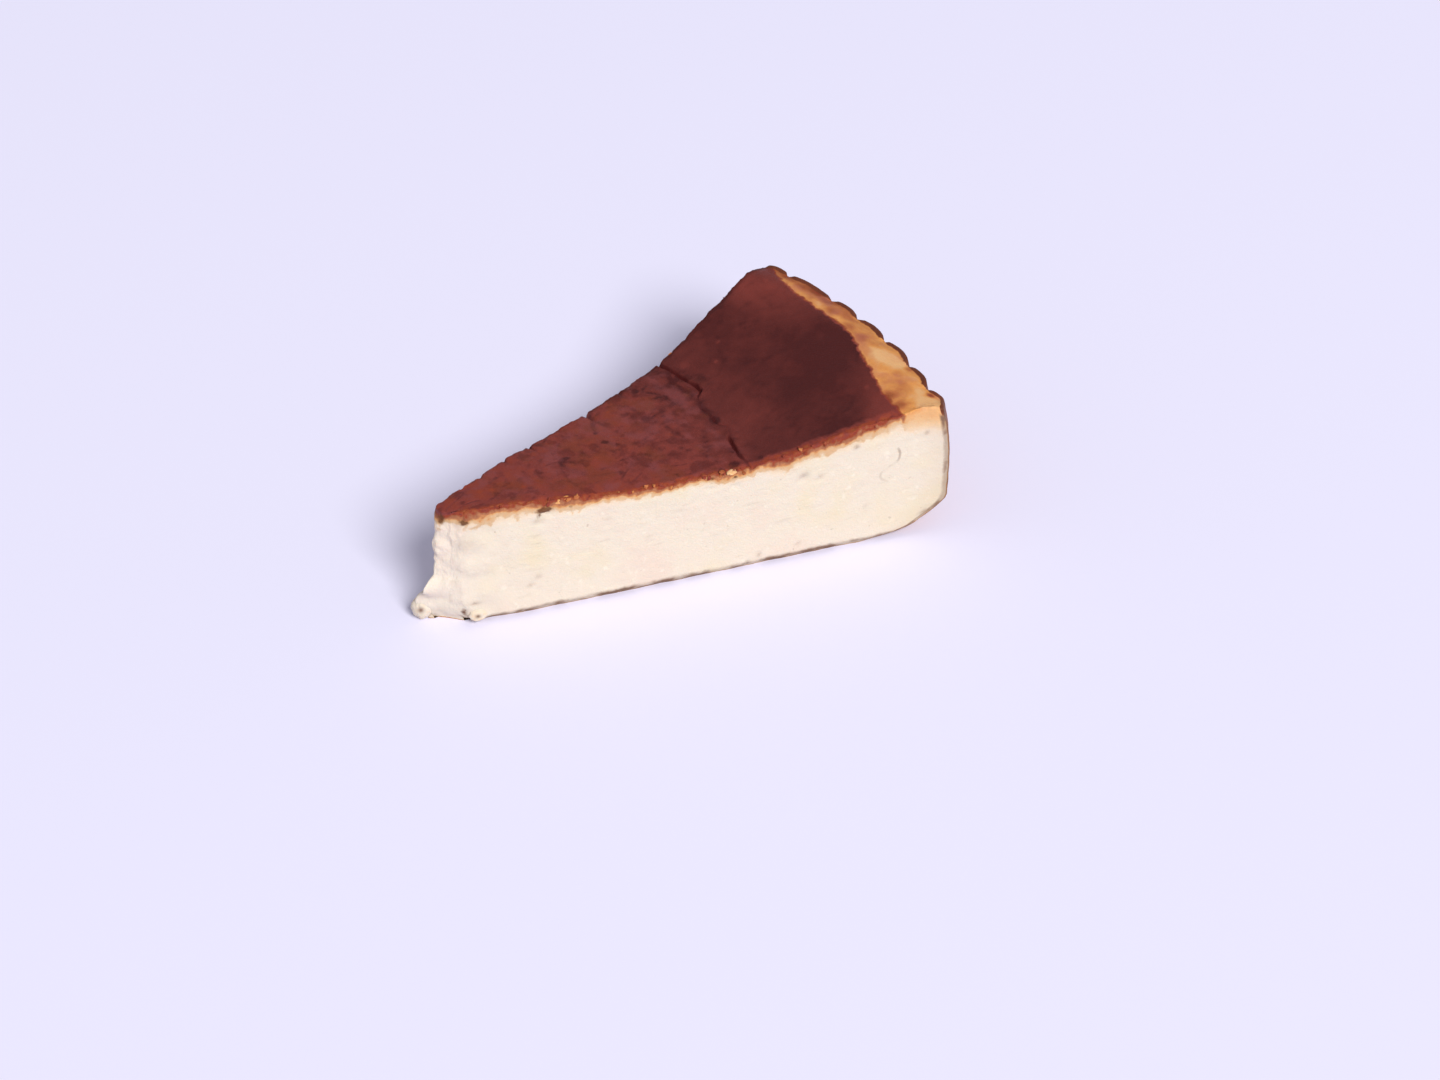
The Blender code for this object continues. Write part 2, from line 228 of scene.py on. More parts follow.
# How burnt the skin is at each radius, in millimetres
BURNT_TONES = (
    (0, 0.79), (18, 0.79), (32, 0.825), (60, 0.835), (70, 0.875), (80, 0.925), (90, 0.945), (98, 0.985),
    (107, 0.985), (114, 0.94), (130, 0.92),
)

# How thick the browned edge of the crust is on the cuts at each radius, as a share of a thin one
CRUST_THICKNESS = (
    (0, 2.3), (24, 2.2), (30, 1.7), (38, 1.9), (46, 1.2), (56, 1.4), (66, 1.2), (72, 1.7), (78, 1.7),
    (82, 1.2), (87, 2.3), (95, 1.9), (100, 2.4), (108, 2.1), (112, 2.4), (115.4, 0.9), (116.6, 2.6),
    (120, 3.2), (130, 3.2),
)

# On the far cut the crust shows thinner, and the top stays burnt up to that edge
FAR_CRUST_RAISED = 0.5 * MM
FAR_EDGE_KEPT = 3.2

# Where the burnt skin gives way to the amber rim: share across the slice, and radius there
AMBER_LINE = (
    (-1.00, 115.8), (-0.95, 115.6), (-0.82, 114.9), (-0.72, 114.7), (-0.55, 115.4), (-0.45, 116.4),
    (-0.30, 116.7), (-0.22, 117.6), (-0.12, 118.5), (-0.04, 119.2), (0.12, 119.7), (0.24, 119.4),
    (0.40, 119.7), (0.59, 119.8), (0.82, 121.9), (0.92, 124.6), (1.00, 126.6),
)

# How the amber rim varies, with a few painted highlights: share and radius, half size, and how much more
# browned
RIM_TONES_AND_HIGHLIGHTS = (
    (-0.12, 121.0, 2.0, 0.20), (0.04, 121.0, 1.8, 0.14), (-0.22, 122.6, 1.6, 0.04),
    # the spots at -0.36, 121.0 and -0.46, 123.0 are painted highlights near the outer edge
    (-0.36, 121.0, 2.0, -0.20), (-0.46, 123.0, 1.9, -0.28), (-0.58, 121.2, 1.4, 0.06),
    (-0.62, 118.0, 2.2, 0.06), (-0.74, 119.9, 2.2, 0.12), (-0.77, 115.8, 1.8, 0.26),
    # the spot at -0.95, 123.0 is partly the corner's paler colour and partly painted light
    (-0.90, 116.6, 1.6, 0.24), (-0.95, 123.0, 3.0, -0.20), (-0.80, 122.8, 1.4, -0.08),
    (0.74, 121.9, 1.2, -0.06), (0.52, 125.6, 1.8, 0.24), (0.39, 124.2, 1.6, 0.16), (0.38, 121.6, 1.3, -0.12),
    (0.25, 121.8, 1.8, 0.14), (0.62, 123.6, 1.8, 0.12), (-0.84, 125.0, 0.8, 0.42), (-0.97, 119.6, 1.6, 0.02),
    (0.80, 124.6, 2.2, 0.12), (0.16, 124.0, 1.6, 0.10), (-0.52, 124.9, 1.0, 0.14), (0.90, 127.0, 2.0, 0.20),
)
RIM_BROWNER_AT_FAR_END = 0.15

# Marks on the near cut: radius and height, half sizes, depth, and how strongly each shows as a dark hole or
# as grey: grey brown skin on some, and painted shade on others, such as the grey just below a hole
Mark = namedtuple("Mark", "radius level half_length half_height depth hole grey")
NEAR_CUT_MARKS = [Mark(*row) for row in (
    (31.6, 27.6, 2.1, 1.0, 1.0, 1.2, 0.0), (30.6, 26.3, 0.8, 0.9, 0.4, 0.7, 0.0),
    (37.7, 27.4, 0.7, 0.5, 0.3, 0.6, 0.0), (75.9, 26.3, 1.0, 0.5, 0.4, 0.7, 0.0),
    (70.3, 26.9, 1.3, 0.5, 0.3, 0.6, 0.0), (21.0, 28.6, 0.9, 0.4, 0.3, 0.4, 0.0),
    (30.2, 25.1, 1.5, 0.9, 0.3, 0.0, 0.30), (104.9, 27.8, 0.8, 0.6, 0.3, 0.0, 0.60),
    (121.9, 27.7, 0.7, 0.6, 0.3, 0.0, 0.50), (92.4, 22.8, 1.4, 1.1, 0.3, 0.0, 0.32),
    (96.3, 21.3, 0.9, 0.8, 0.3, 0.0, 0.24), (80.2, 17.8, 2.6, 0.4, 0.1, 0.0, 0.16),
    (87.6, 11.3, 1.7, 0.4, 0.1, 0.0, 0.22), (27.9, 7.9, 1.1, 0.6, 0.3, 0.0, 0.28),
    (29.7, 9.7, 0.9, 0.4, 0.2, 0.0, 0.26), (81.8, 3.0, 0.6, 0.8, 0.2, 0.0, 0.40),
    (91.1, 3.7, 0.7, 0.6, 0.2, 0.0, 0.28), (93.8, 0.7, 0.8, 0.8, 0.1, 0.0, 1.0),
    (79.0, 1.1, 0.9, 0.7, 0.1, 0.0, 0.9), (122.2, 5.5, 1.4, 0.6, 0.2, 0.0, 0.70),
    (120.7, 3.4, 1.2, 0.5, 0.1, 0.0, 0.60), (127.8, 12.8, 0.9, 2.1, 0.0, 0.45, 0.8),
    (127.2, 27.0, 0.6, 3.2, 0.0, 0.15, 0.8), (126.4, 31.4, 0.8, 1.5, 0.0, 0.3, 0.8),
    (55.6, 14.6, 1.3, 0.4, 0.2, 0.0, 0.16), (62.9, 20.2, 1.7, 0.5, 0.1, 0.0, 0.12),
    (46.0, 22.0, 1.2, 0.5, 0.1, 0.0, 0.14), (107.5, 10.5, 1.0, 0.5, 0.2, 0.0, 0.14),
)]

# Marks on the crumbled nose: radius, angle in degrees and height, half sizes, and how it shows; the grey of
# some is painted shade in its dents
NoseMark = namedtuple("NoseMark", "radius angle level half_length half_height hole grey")
NOSE_MARKS = [NoseMark(*row) for row in (
    (12.7, -12.0, 3.4, 1.0, 1.5, 0.72, 0.0), (13.9, -14.2, 1.5, 1.0, 0.7, 0.62, 0.0),
    (15.0, -15.2, 5.7, 2.1, 0.50, 0.42, 0.25), (9.4, 2.3, 28.8, 1.0, 1.6, 0.80, 0.2),
    (13.2, -15.5, 28.6, 1.5, 0.9, 0.90, 0.0), (14.9, -15.3, 29.2, 0.8, 0.6, 0.5, 0.0),
    (13.6, -15.6, 22.9, 2.8, 2.0, 0.0, 0.22), (10.5, -9.9, 12.0, 0.9, 0.7, 0.0, 0.34),
    (10.2, 0.0, 18.5, 0.9, 2.4, 0.0, 0.14),
)]

# The curved hairline on the near cut, painted as a thin line of shade: its path by radius and height, and
# how dark it is along its length
HAIRLINE = (
    (114.7, 25.3), (115.2, 24.6), (115.5, 23.6), (115.4, 22.4), (114.8, 21.4), (113.8, 20.8), (112.8, 20.4),
    (111.8, 19.8), (110.9, 19.1), (110.7, 18.2), (111.2, 17.3), (112.2, 16.5),
)
HAIRLINE_STRENGTH = (
    (0, 0.3), (1.2, 1.0), (3.6, 0.8), (4.6, 0.10), (5.6, 0.12), (6.2, 0.45), (6.9, 0.10), (8.0, 0.12),
    (9.2, 0.42), (11.4, 0.30), (13.5, 0.1),
)

# Pale spots on the burnt skin: radius, angle in degrees, half size, and strength
PALE_SPOTS = (
    (22.7, 1.7, 0.8, 1.0), (20.4, 4.7, 0.8, 0.8), (29.3, -4.2, 0.6, 1.0), (33.9, 12.1, 0.6, 0.8),
    (63.2, 12.3, 0.5, 1.0), (97.8, 11.1, 0.5, 0.9), (93.1, 8.7, 0.5, 0.9), (38.1, 3.2, 1.4, 0.4),
    (68.6, 2.0, 1.1, 0.4), (118.5, 13.1, 0.5, 0.7), (112.6, -9.4, 0.6, 0.7), (88.0, 12.0, 1.2, 0.4),
    (25.5, 4.0, 0.5, 0.6),
)

# Crumbs that have broken away and stuck: centre in the whole cake and half sizes in millimetres, how brown,
# and a dimple's place
Crumb = namedtuple("Crumb", "x y z length width height browned dimple")
BIG_CRUMBS = (
    Crumb(6.0, 5.1, 2.9, 2.45, 2.2, 2.8, 0.0, Vector((-0.50, -0.74, 0.20))),
    Crumb(15.3, -3.6, 2.5, 2.3, 1.5, 1.75, 0.02, Vector((-0.35, -0.85, 0.10))),
    Crumb(72.4, -20.2, 27.4, 1.35, 0.8, 0.50, 0.21, None),
    Crumb(70.2, -19.6, 28.0, 0.7, 0.5, 0.4, 0.55, None),
    Crumb(35.6, -9.1, 28.8, 1.0, 0.7, 0.6, 0.36, None),
    Crumb(33.6, -9.0, 28.7, 0.8, 0.6, 0.5, 0.30, None),
    Crumb(37.9, -9.9, 28.7, 0.8, 0.6, 0.5, 0.50, None),
)

# How large and small ones are shaped: subdivisions, and the height of lumps and of clefts as a share of size
LARGE_FROM = 1.6
LARGE_LUMP = (5, 0.12, 0.14)
SMALL_LUMP = (4, 0.34, 0.22)

# Fine crumbs along the broken edges of the crust: how many to the square metre, half sizes, how brown, where
# they gather, and the strips that they are scattered over, each corner a share of the half width and height
CRUMBS_PER_AREA = 320000
CRUMB_SIZES = (0.22 * MM, 0.66 * MM)
PALEST_CRUMB = 0.44
BROWNEST_CRUMB = 0.76
CRUMBS_GATHER = ((36, 3.0), (57, 2.5), (75, 5.0), (92, 7.0))
STRIP_START = 0.06
STRIP_END = 1.80
NEAR_STRIP = ((0.975, 1.0), (1.0, 1.0), (1.0, 0.965))
FAR_STRIP = ((1.0, 0.985), (1.0, 0.970), (1.0, 0.955))

# Colours as they are seen, 0 to 255: first from pale cream to burnt, in order of baking
BAKING = (
    (0.00, (219, 207, 189)), (0.10, (229, 200, 162)), (0.22, (227, 182, 131)), (0.34, (217, 149, 84)),
    (0.46, (182, 109, 66)), (0.58, (146, 77, 47)), (0.70, (141, 62, 42)), (0.84, (127, 58, 51)),
    (1.00, (76, 32, 31)),
)
DULL_TAN = (156, 122, 97)
RIM_PINK = (184, 112, 92)
LIP_BROWN = (96, 56, 36)
# Painted shade: the cream of the cuts darkens towards the outer wall
PAINTED_WALL_SHADE = (190, 164, 140)
# Painted light: the cream of the blunt nose, which the key light only grazes, made paler
PAINTED_NOSE_LIGHT = (236, 226, 212)
# Grey brown skin, and painted grey shade in dents, below a hole and along the hairline
GREY_SKIN_AND_SHADE = (128, 100, 82)
HOLE_DARK = (98, 58, 34)
# Painted shade inside the crack
CRACK_PAINTED_SHADE = (72, 22, 21)
FLOOR_COLOUR = (236, 234, 255)

# Cloudy patches: colour, size in millimetres, detail, kind, where they start and are full, and strength
Patch = namedtuple("Patch", "colour size detail kind starts full strength stretch", defaults=(None,))
# On the creased tip half: a faint grey bloom, rust, and shade
SKIN_PATCHES = (
    Patch((131, 70, 71), 4.6, 4.0, 13, -0.02, 0.14, 0.46),
    Patch((118, 57, 32), 6.0, 3.0, 16, 0.0, 0.16, 0.42),
    Patch((78, 30, 28), 3.6, 4.0, 18, -0.03, -0.15, 0.46),
)
# In the cream: yellower and pinker curd, faint streaks along the cut, bright curd, and a few pores
CREAM_PATCHES = (
    Patch((218, 204, 170), 14, 2.0, 1, 0.0, 0.22, 0.6),
    Patch((219, 194, 179), 14, 2.0, 1, 0.0, -0.22, 0.4),
    Patch((150, 132, 116), 1.6, 3.0, 8, 0.10, 0.30, 0.16, (0.35, 0.6, 1.6)),
    Patch((234, 225, 208), 1.7, 2.0, 9, 0.10, 0.26, 0.45),
    Patch((140, 116, 96), 1.3, 1.0, 10, -0.22, -0.30, 0.30),
)

# The camera, in the whole cake, and its lens in millimetres
CAMERA_PLACE = Vector((-314.244, -570.105, 509.900)) * MM
CAMERA_TARGET = Vector((76.86, -9.32, 0)) * MM
CAMERA_LENS = 93
SENSOR_WIDTH = 36


def mix(start, end, amount):
    return start + (end - start) * amount


def smooth_step(start, end, value):
    """0 up to start, 1 from end on, and a smooth change between."""
    amount = min(max((value - start) / (end - start), 0.0), 1.0)
    return amount * amount * (3 - 2 * amount)


def dip(distance, width):
    """A soft hollow: 1 in its middle, and close to 0 at its width."""
    return math.exp(-3 * (distance / width) ** 2)


def unevenness(point, wavelength, kind):
    """Smooth random relief from -1 to 1; each kind of surface has its own."""
    return noise.noise(point / wavelength + Vector((0, 0, 17.3 * kind)))


def clods(point, wavelength, kind):
    """Rounded clods with sharp clefts between them, and smaller ones on top of them."""
    large, small = unevenness(point, wavelength, kind), unevenness(point, wavelength / 2.3, kind + 1)
    return 2 * math.sqrt(large * large + 0.012) + math.sqrt(small * small + 0.02) - 0.65


def angle_at(share):
    return share * SLICE_ANGLE / 2 + PLEAT_BOW * (1 - share * share)


def towards_far(near, far, share):
    """A size that changes evenly from the near cut to the far cut."""
    return mix(near, far, (share + 1) / 2)


@lru_cache(maxsize=None)
def top_line(share):
    return TopLine(*(towards_far(near, far, share) for near, far in zip(NEAR_TOP, FAR_TOP)))


def top_height(radius, share):
    line = top_line(share)
    height = mix(line.nose, line.hollow, smooth_step(line.sinks, line.hollow_from, radius))
    if radius > line.rises:
        climb = (min(radius, line.crest_at) - line.rises) / (line.crest_at - line.rises)
        height = mix(height, line.crest, mix(climb, smooth_step(0, 1, climb), 0.5))
    if radius > line.crest_at:
        fall = (radius - line.crest_at) / (CAKE_RADIUS - line.crest_at)
        height -= (line.crest - line.edge) * fall * fall
    return height


def between(stops, place):
    """The values at a place between stops, each a place and its values, changing evenly from stop to stop."""
    for start, end in zip(stops, stops[1:]):
        if place <= end[0]:
            amount = (place - start[0]) / (end[0] - start[0])
            return [mix(first, last, amount) for first, last in zip(start[1:], end[1:])]
    return list(stops[-1][1:])


@lru_cache(maxsize=None)
def crack_radius(share):
    return between(CRACK, share)[0] * MM + CRACK_WANDER * unevenness(Vector((share, 0, 0)), 0.06, 4)


@lru_cache(maxsize=None)
def crack_gape(share):
    """1 where the crack stands open, and close to 0 where it is only a hairline."""
    return between(CRACK, share)[1]


def pleat(share):
    """1 on the crown of each lobe of the wall, and 0 in the sharp valleys between them."""
    for start, end in zip(PLEAT_VALLEYS, PLEAT_VALLEYS[1:]):
        if share <= end:
            return math.sin(math.pi * (share - start) / (end - start)) ** PLEAT_SHARPNESS
    return 0.0


def wall_radius(share, level):
    """The outer wall at a level above the base."""
    above_belly = max(level - BELLY_HEIGHT, 0.0) / (TYPICAL_TOP - BELLY_HEIGHT)
    radius = CAKE_RADIUS + MID_BULGE * (1 - share * share) + BELLY * (1 - above_belly ** 2)
    tuck = max(1 - level / FOOT_HEIGHT, 0.0) ** FOOT_ROUNDNESS
    flare = max(1 - level / FOOT_FLARE_HEIGHT, 0.0) ** 2
    strength = mix(PLEAT_LEFT_AT_FOOT, 1.0, smooth_step(0, TYPICAL_TOP, level))
    strength *= mix(1.0, PLEAT_LEFT_AT_FAR_END, smooth_step(0.0, 0.5, share))
    at_corner = dip(share - CORNER_LOBE_AT, CORNER_LOBE_WIDTH)
    radius += CORNER_LOBE * at_corner * smooth_step(0, TYPICAL_TOP, level)
    return radius - FOOT_DEPTH * tuck - FOOT_FLARE * flare + PLEAT_DEPTH * strength * (pleat(share) - 0.5)


def nose_radius(share, level):
    """The blunt end: ledges step out on its far side towards the base, its near corner is worn away, and it
    turns under at its foot."""
    ledges = sum(reach * (1 - smooth_step(full_below, none_above, level))
                 for reach, full_below, none_above in NOSE_LEDGES)
    worn = NEAR_CORNER_LOST * (1 - smooth_step(0, NEAR_CORNER_HEIGHT, level))
    tuck = NOSE_TUCK * (1 - smooth_step(0, NOSE_TUCK_HEIGHT, level))
    rounding = NOSE_ROUNDING * math.sqrt(1 - share * share)
    return towards_far(NOSE_NEAR + worn, NOSE_FAR - ledges, share) + tuck - rounding


def nose_lumps(share, level):
    """How far the lumps of curd stand out from the nose."""
    reach = 0.0
    for lump_share, lump_level, half_size, height in NOSE_LUMPS:
        across = (share - lump_share) * NOSE_HALF_WIDTH
        up = level / MM - lump_level
        reach += height * math.exp(-((across * across + up * up) / half_size ** 2) ** 2)
    return reach * MM


def flat(radius, degrees):
    """A place on the top, in millimetres, from its radius and angle."""
    return Vector((radius * math.cos(math.radians(degrees)), radius * math.sin(math.radians(degrees))))


def from_above(place):
    """A place seen from above, in millimetres."""
    return Vector((place.x, place.y)) / MM


def nearest_on(points, spot):
    """How far a spot is from a line of points, negative on one side, and how far along the line that is."""
    nearest, reached, length = 1e9, 0.0, 0.0
    for start, end in zip(points, points[1:]):
        stretch = end - start
        along = (spot - start).dot(stretch) / stretch.length_squared
        offset = spot - start - stretch * min(max(along, 0), 1)
        if offset.length < abs(nearest):
            nearest = math.copysign(offset.length, offset.cross(stretch))
            reached = length + along * stretch.length
        length += stretch.length
    return nearest, reached


DRAWN_LINES = [(line, [flat(*point) for point in line.points]) for line in SKIN_LINES]
DRAWN_SPOTS, DRAWN_PALE_SPOTS = (
    [(flat(radius, degrees), size, strength) for radius, degrees, size, strength in spots]
    for spots in (SKIN_SPOTS, PALE_SPOTS)
)


def spot_strength(spots, place):
    """How strongly the nearest of the spots marks this place."""
    here = from_above(place)
    strength = 0.0
    for centre, size, dark in spots:
        away = (here - centre).length / size
        if away < 2.5:
            strength = max(strength, dark * math.exp(-1.2 * away ** 3))
    return strength


def line_strength(place):
    here = from_above(place)
    strength = 0.0
    for line, points in DRAWN_LINES:
        if (here - points[0]).length < 16:
            away = nearest_on(points, here)[0] / line.half_width
            strength += line.strength * math.exp(-away * away)
    return strength


def skin_crease(radius, share, place):
    """Fine creases and pin pits in the burnt skin, 0 to 1, mostly in front of the crack."""
    reach = mix(1.0, 0.2, smooth_step(-4 * MM, 6 * MM, radius - crack_radius(share)))
    stretched = Vector((place.x * 0.75, place.y * 1.25, place.z))
    swirl = Vector([unevenness(place, CREASE_SWIRL_LENGTH, kind) for kind in (21, 22)] + [0])
    thread = unevenness(stretched + swirl * CREASE_SWIRL, CREASE_LENGTH, 23)
    line = max(1 - abs(thread) / CREASE_WIDTH, 0.0)
    line *= smooth_step(-0.15, 0.30, unevenness(place, CREASE_PATCH_LENGTH, 24))
    pit = smooth_step(0.30, 0.70, unevenness(stretched, PIN_PIT_LENGTH, 25))
    return reach * line, reach * pit


def top_relief(radius, share, wall, place):
    """What the top loses to the crack, its fold, the nick, the pit, the pleats and the skin's wrinkles."""
    from_crack = radius - crack_radius(share)
    gape = crack_gape(share)
    half_width = mix(*CRACK_HALF_WIDTH, gape)
    relief = mix(CRACK_FAINT_DEPTH, CRACK_DEPTH, gape * gape) * max(1 - abs(from_crack) / half_width, 0.0)
    relief -= CRACK_LIP * mix(0.4, 1.0, gape) * dip(abs(from_crack) - CRACK_LIP_REACH / 2, CRACK_LIP_REACH)
    fold_reach = smooth_step(*FOLD_STARTS, share) * (1 - smooth_step(*FOLD_ENDS, share))
    relief += FOLD_DEPTH * fold_reach * dip(from_crack + FOLD_BEHIND_CRACK, FOLD_WIDTH)
    if share > 0.6:
        nicked = sum(depth * dip(radius / MM - middle, width) for middle, depth, width in NICKS)
        relief += nicked * MM * smooth_step(0.6, 1.0, share)
    relief += PIT_DEPTH * smooth_step(0.8, 1.0, -share) * dip(radius - PIT_AT, PIT_WIDTH)
    relief += PLEAT_ON_RIM * (1 - pleat(share)) * smooth_step(CAKE_RADIUS - RIM_WIDTH, CAKE_RADIUS, radius)
    relief -= LIP_CURL * lip(share) * (1 - smooth_step(0.2 * MM, LIP_WIDTH, wall - radius))
    relief += SKIN_WRINKLE * unevenness(place, SKIN_WRINKLE_LENGTH, 1)
    crease, pit = skin_crease(radius, share, place)
    relief += CREASE_DEPTH * (crease + line_strength(place)) + PIN_PIT_DEPTH * pit
    relief += SPOT_DEPTH * spot_strength(DRAWN_SPOTS, place)
    edge = smooth_step(EDGE_BAND, 1.0, abs(share)) * (FAR_EDGE_CRUMBLE if share > 0 else 1.0)
    relief += EDGE_CRUMBLE * edge * (0.25 + unevenness(place, EDGE_CRUMBLE_LENGTH, 2))
    fine = unevenness(place, EDGE_CHIP_LENGTH_FINE, 30)
    return relief + EDGE_CHIP * edge * (unevenness(place, EDGE_CHIP_LENGTH, 26) + 0.7 * edge * fine)


def lip(share):
    """1 where a lobe's burnt lip curls up at the rim, and 0 between the lobes."""
    return smooth_step(0.25, 0.62, pleat(share)) * mix(0.55, 1.0, smooth_step(-1.0, -0.75, share))


def cut_relief(radius, share, level, from_top, place):
    """How far a cut face stands out of its plane: faint ripples and curd, a lumpy nose, a tucked-in base edge
    and a worn, crumbling top edge."""
    near_nose = 1 - smooth_step(NOSE_NEAR, NOSE_RIPPLE_FADES, radius)
    relief = CUT_RIPPLE * unevenness(place, CUT_RIPPLE_LENGTH, 3)
    relief += NOSE_RIPPLE * near_nose * unevenness(place, NOSE_RIPPLE_LENGTH, 5)
    relief -= BASE_EDGE_TUCK * (1 + near_nose) * (1 - smooth_step(0, BASE_EDGE_HEIGHT, level))
    worn = 1 - smooth_step(0, EDGE_HEIGHT, from_top)
    chip = unevenness(place, EDGE_CHIP_LENGTH, 27) + 0.6 * unevenness(place, EDGE_CHIP_LENGTH_FINE, 33)
    crumbling = FAR_EDGE_CRUMBLE if share > 0 else 1.0
    relief += worn * (EDGE_CHIP * chip - worn * EDGE_LOST) * crumbling
    drawn_out = Vector((place.x * 0.6, place.y, place.z))
    relief += CURD * (unevenness(drawn_out, CURD_LENGTH, 28) + 0.6 * unevenness(place, CURD_LENGTH / 2, 29))
    if share < 0:
        relief -= sum(mark.depth * MM * mark_strength(mark, radius, level) for mark in NEAR_CUT_MARKS)
    return relief * abs(share) ** mix(8, 1, near_nose)


def mark_strength(mark, radius, level):
    along = (radius / MM - mark.radius) / mark.half_length
    up = (level / MM - mark.level) / mark.half_height
    distance = along * along + up * up
    return math.exp(-1.3 * distance) if distance < 4 else 0.0


def nose_mark_strength(mark, place):
    across = (from_above(place) - flat(mark.radius, mark.angle)).length / mark.half_length
    up = (place.z / MM - mark.level) / mark.half_height
    return math.exp(-1.3 * (across * across + up * up))


def hole_and_grey(share, radius, place):
    """How strongly this place shows as a dark hole, and as grey: skin in some marks, painted shade in others.
    """
    marked = [(0.0, 0.0)]
    if share < -0.9:
        strengths = [(mark, mark_strength(mark, radius, place.z)) for mark in NEAR_CUT_MARKS]
        marked += [(mark.hole * strength, mark.grey * strength) for mark, strength in strengths]
    if radius < 20 * MM:
        strengths = [(mark, nose_mark_strength(mark, place)) for mark in NOSE_MARKS]
        marked += [(mark.hole * strength, mark.grey * strength) for mark, strength in strengths]
    return max(hole for hole, grey in marked), max(grey for hole, grey in marked)


def toe_swell(radius, share, level):
    """The smeared toe bulges out past the far cut."""
    fading = (1 - smooth_step(*TOE_LENGTH, radius)) * (1 - smooth_step(*TOE_HEIGHT, level))
    return towards_far(0.0, TOE_SWELL, share) * fading


def wall_relief(share, level):
    """Creases that the folded paper pressed into the wall, deepest towards the foot, and a fine grain."""
    spot = Vector((share * WALL_HALF_LENGTH, 0, level))
    upright = Vector((spot.x, 0, level * 0.25))
    thread = unevenness(upright, PAPER_CREASE_LENGTH, 31)
    crease = max(1 - abs(thread) / PAPER_CREASE_WIDTH, 0.0)
    crease *= mix(1.0, 0.35, smooth_step(0, PAPER_CREASE_FADES, level))
    return WALL_GRAIN * unevenness(spot, WALL_GRAIN_LENGTH, 32) - PAPER_CREASE * crease


def slice_point(length, share, height):
    """Where a point of the block goes: length 0 is the nose, 1 the crack, and 2 the outer wall."""
    level = height * TYPICAL_TOP
    crack = crack_radius(share)
    if length < 1:
        nose = nose_radius(share, level)
        bump = Vector((nose, nose * angle_at(share), level))
        nose -= NOSE_FACE_RIPPLE * unevenness(bump, NOSE_RIPPLE_LENGTH, 6)
        nose -= NOSE_CLODS * clods(bump, NOSE_CLOD_LENGTH, 7) + nose_lumps(share, level)
        radius = mix(nose, crack, length)
        wall = wall_radius(share, level)
    else:
        wall = wall_radius(share, level)
        if length > 1.5:
            wall += wall_relief(share, level) * smooth_step(1.5, 2.0, length)
        radius = mix(crack, wall, length - 1)
    angle = angle_at(share)
    outward = Vector((math.cos(angle), math.sin(angle), 0.0))
    across = Vector((-math.sin(angle), math.cos(angle), 0.0))
    place = radius * outward + Vector((0, 0, level))
    top = top_height(radius, share)
    from_top = (1 - height) * top
    if abs(share) > 0.5:
        sideways = cut_relief(radius, share, level, from_top, place) * math.copysign(1, share)
        place += across * sideways
    place += across * toe_swell(radius, share, level)
    lost = top_relief(radius, share, wall, place) if height > 0.5 else 0.0
    place.z = height * (top - height ** 6 * lost)
    return place, radius, wall, from_top


def length_stations():
    """Even columns on each side of the crack, which lies at 1, and finer ones along its lips and the rim."""
    tip_length = TYPICAL_CRACK - NOSE_NEAR
    rim_length = CAKE_RADIUS - TYPICAL_CRACK
    tip = [column / TIP_COLUMNS for column in range(TIP_COLUMNS)]
    rim = [1 + column / RIM_COLUMNS for column in range(1, RIM_COLUMNS + 1)]
    before = [1 - lip * MM / tip_length for lip in CRACK_COLUMNS]
    after = [1 + lip * MM / rim_length for lip in CRACK_COLUMNS]
    inner = [2 - lip * MM / rim_length for lip in LIP_COLUMNS]
    tip = [station for station in tip if station < before[-1] - 0.3 / TIP_COLUMNS]
    low, high = after[-1] + 0.3 / RIM_COLUMNS, inner[-1] - 0.3 / RIM_COLUMNS
    rim = [station for station in rim if low < station < high]
    return sorted(tip + before + [1.0] + after + rim + inner + [2.0])


def share_stations():
    """Ribs crowd a little towards both cuts, where the crust's edge crumbles."""
    even = [2 * rib / RIBS - 1 for rib in range(RIBS + 1)]
    return [share * (1.28 - 0.28 * share * share) for share in even]


def height_stations():
    """Rows crowd towards the rounded foot and the crust."""
    foot = [0.40 * (row / FOOT_ROWS) ** 1.6 for row in range(FOOT_ROWS)]
    body = [mix(0.40, CRUST_STARTS, row / BODY_ROWS) for row in range(BODY_ROWS)]
    crust = [mix(CRUST_STARTS, 1.0, row / CRUST_ROWS) for row in range(CRUST_ROWS + 1)]
    return foot + body + crust


def amber_radius(share):
    """Where the burnt skin ends and the amber rim begins."""
    return between(AMBER_LINE, share)[0] * MM


def rim_tone_and_highlight(radius, share):
    """How much more, or less, browned the amber rim is: more so towards the far end of its outer edge. Some
    of its paler spots are painted highlights.
    """
    tone = RIM_BROWNER_AT_FAR_END * smooth_step(-0.15, 0.35, share) * smooth_step(119 * MM, 126 * MM, radius)
    for tone_share, tone_radius, half_size, change in RIM_TONES_AND_HIGHLIGHTS:
        along = radius / MM - tone_radius
        around = (share - tone_share) * tone_radius * SLICE_ANGLE / 2
        tone += change * math.exp(-(along * along + around * around) / half_size ** 2)
    return tone


def hairline(radius, level):
    """Signed distance in millimetres from the curved hairline on the near cut, and how dark it is there."""
    distance, along = nearest_on([Vector(point) for point in HAIRLINE], Vector((radius, level)) / MM)
    if not 0 < along < HAIRLINE_STRENGTH[-1][0] or abs(distance) > 2:
        return 9.0, 0.0
    return distance, between(HAIRLINE_STRENGTH, along)[0]


def placed(name, data):
    """A new object in the scene."""
    thing = bpy.data.objects.new(name, data)
    bpy.context.scene.collection.objects.link(thing)
    return thing


def mesh_of(name, shape):
    mesh = bpy.data.meshes.new(name)
    shape.to_mesh(mesh)
    shape.free()
    return mesh


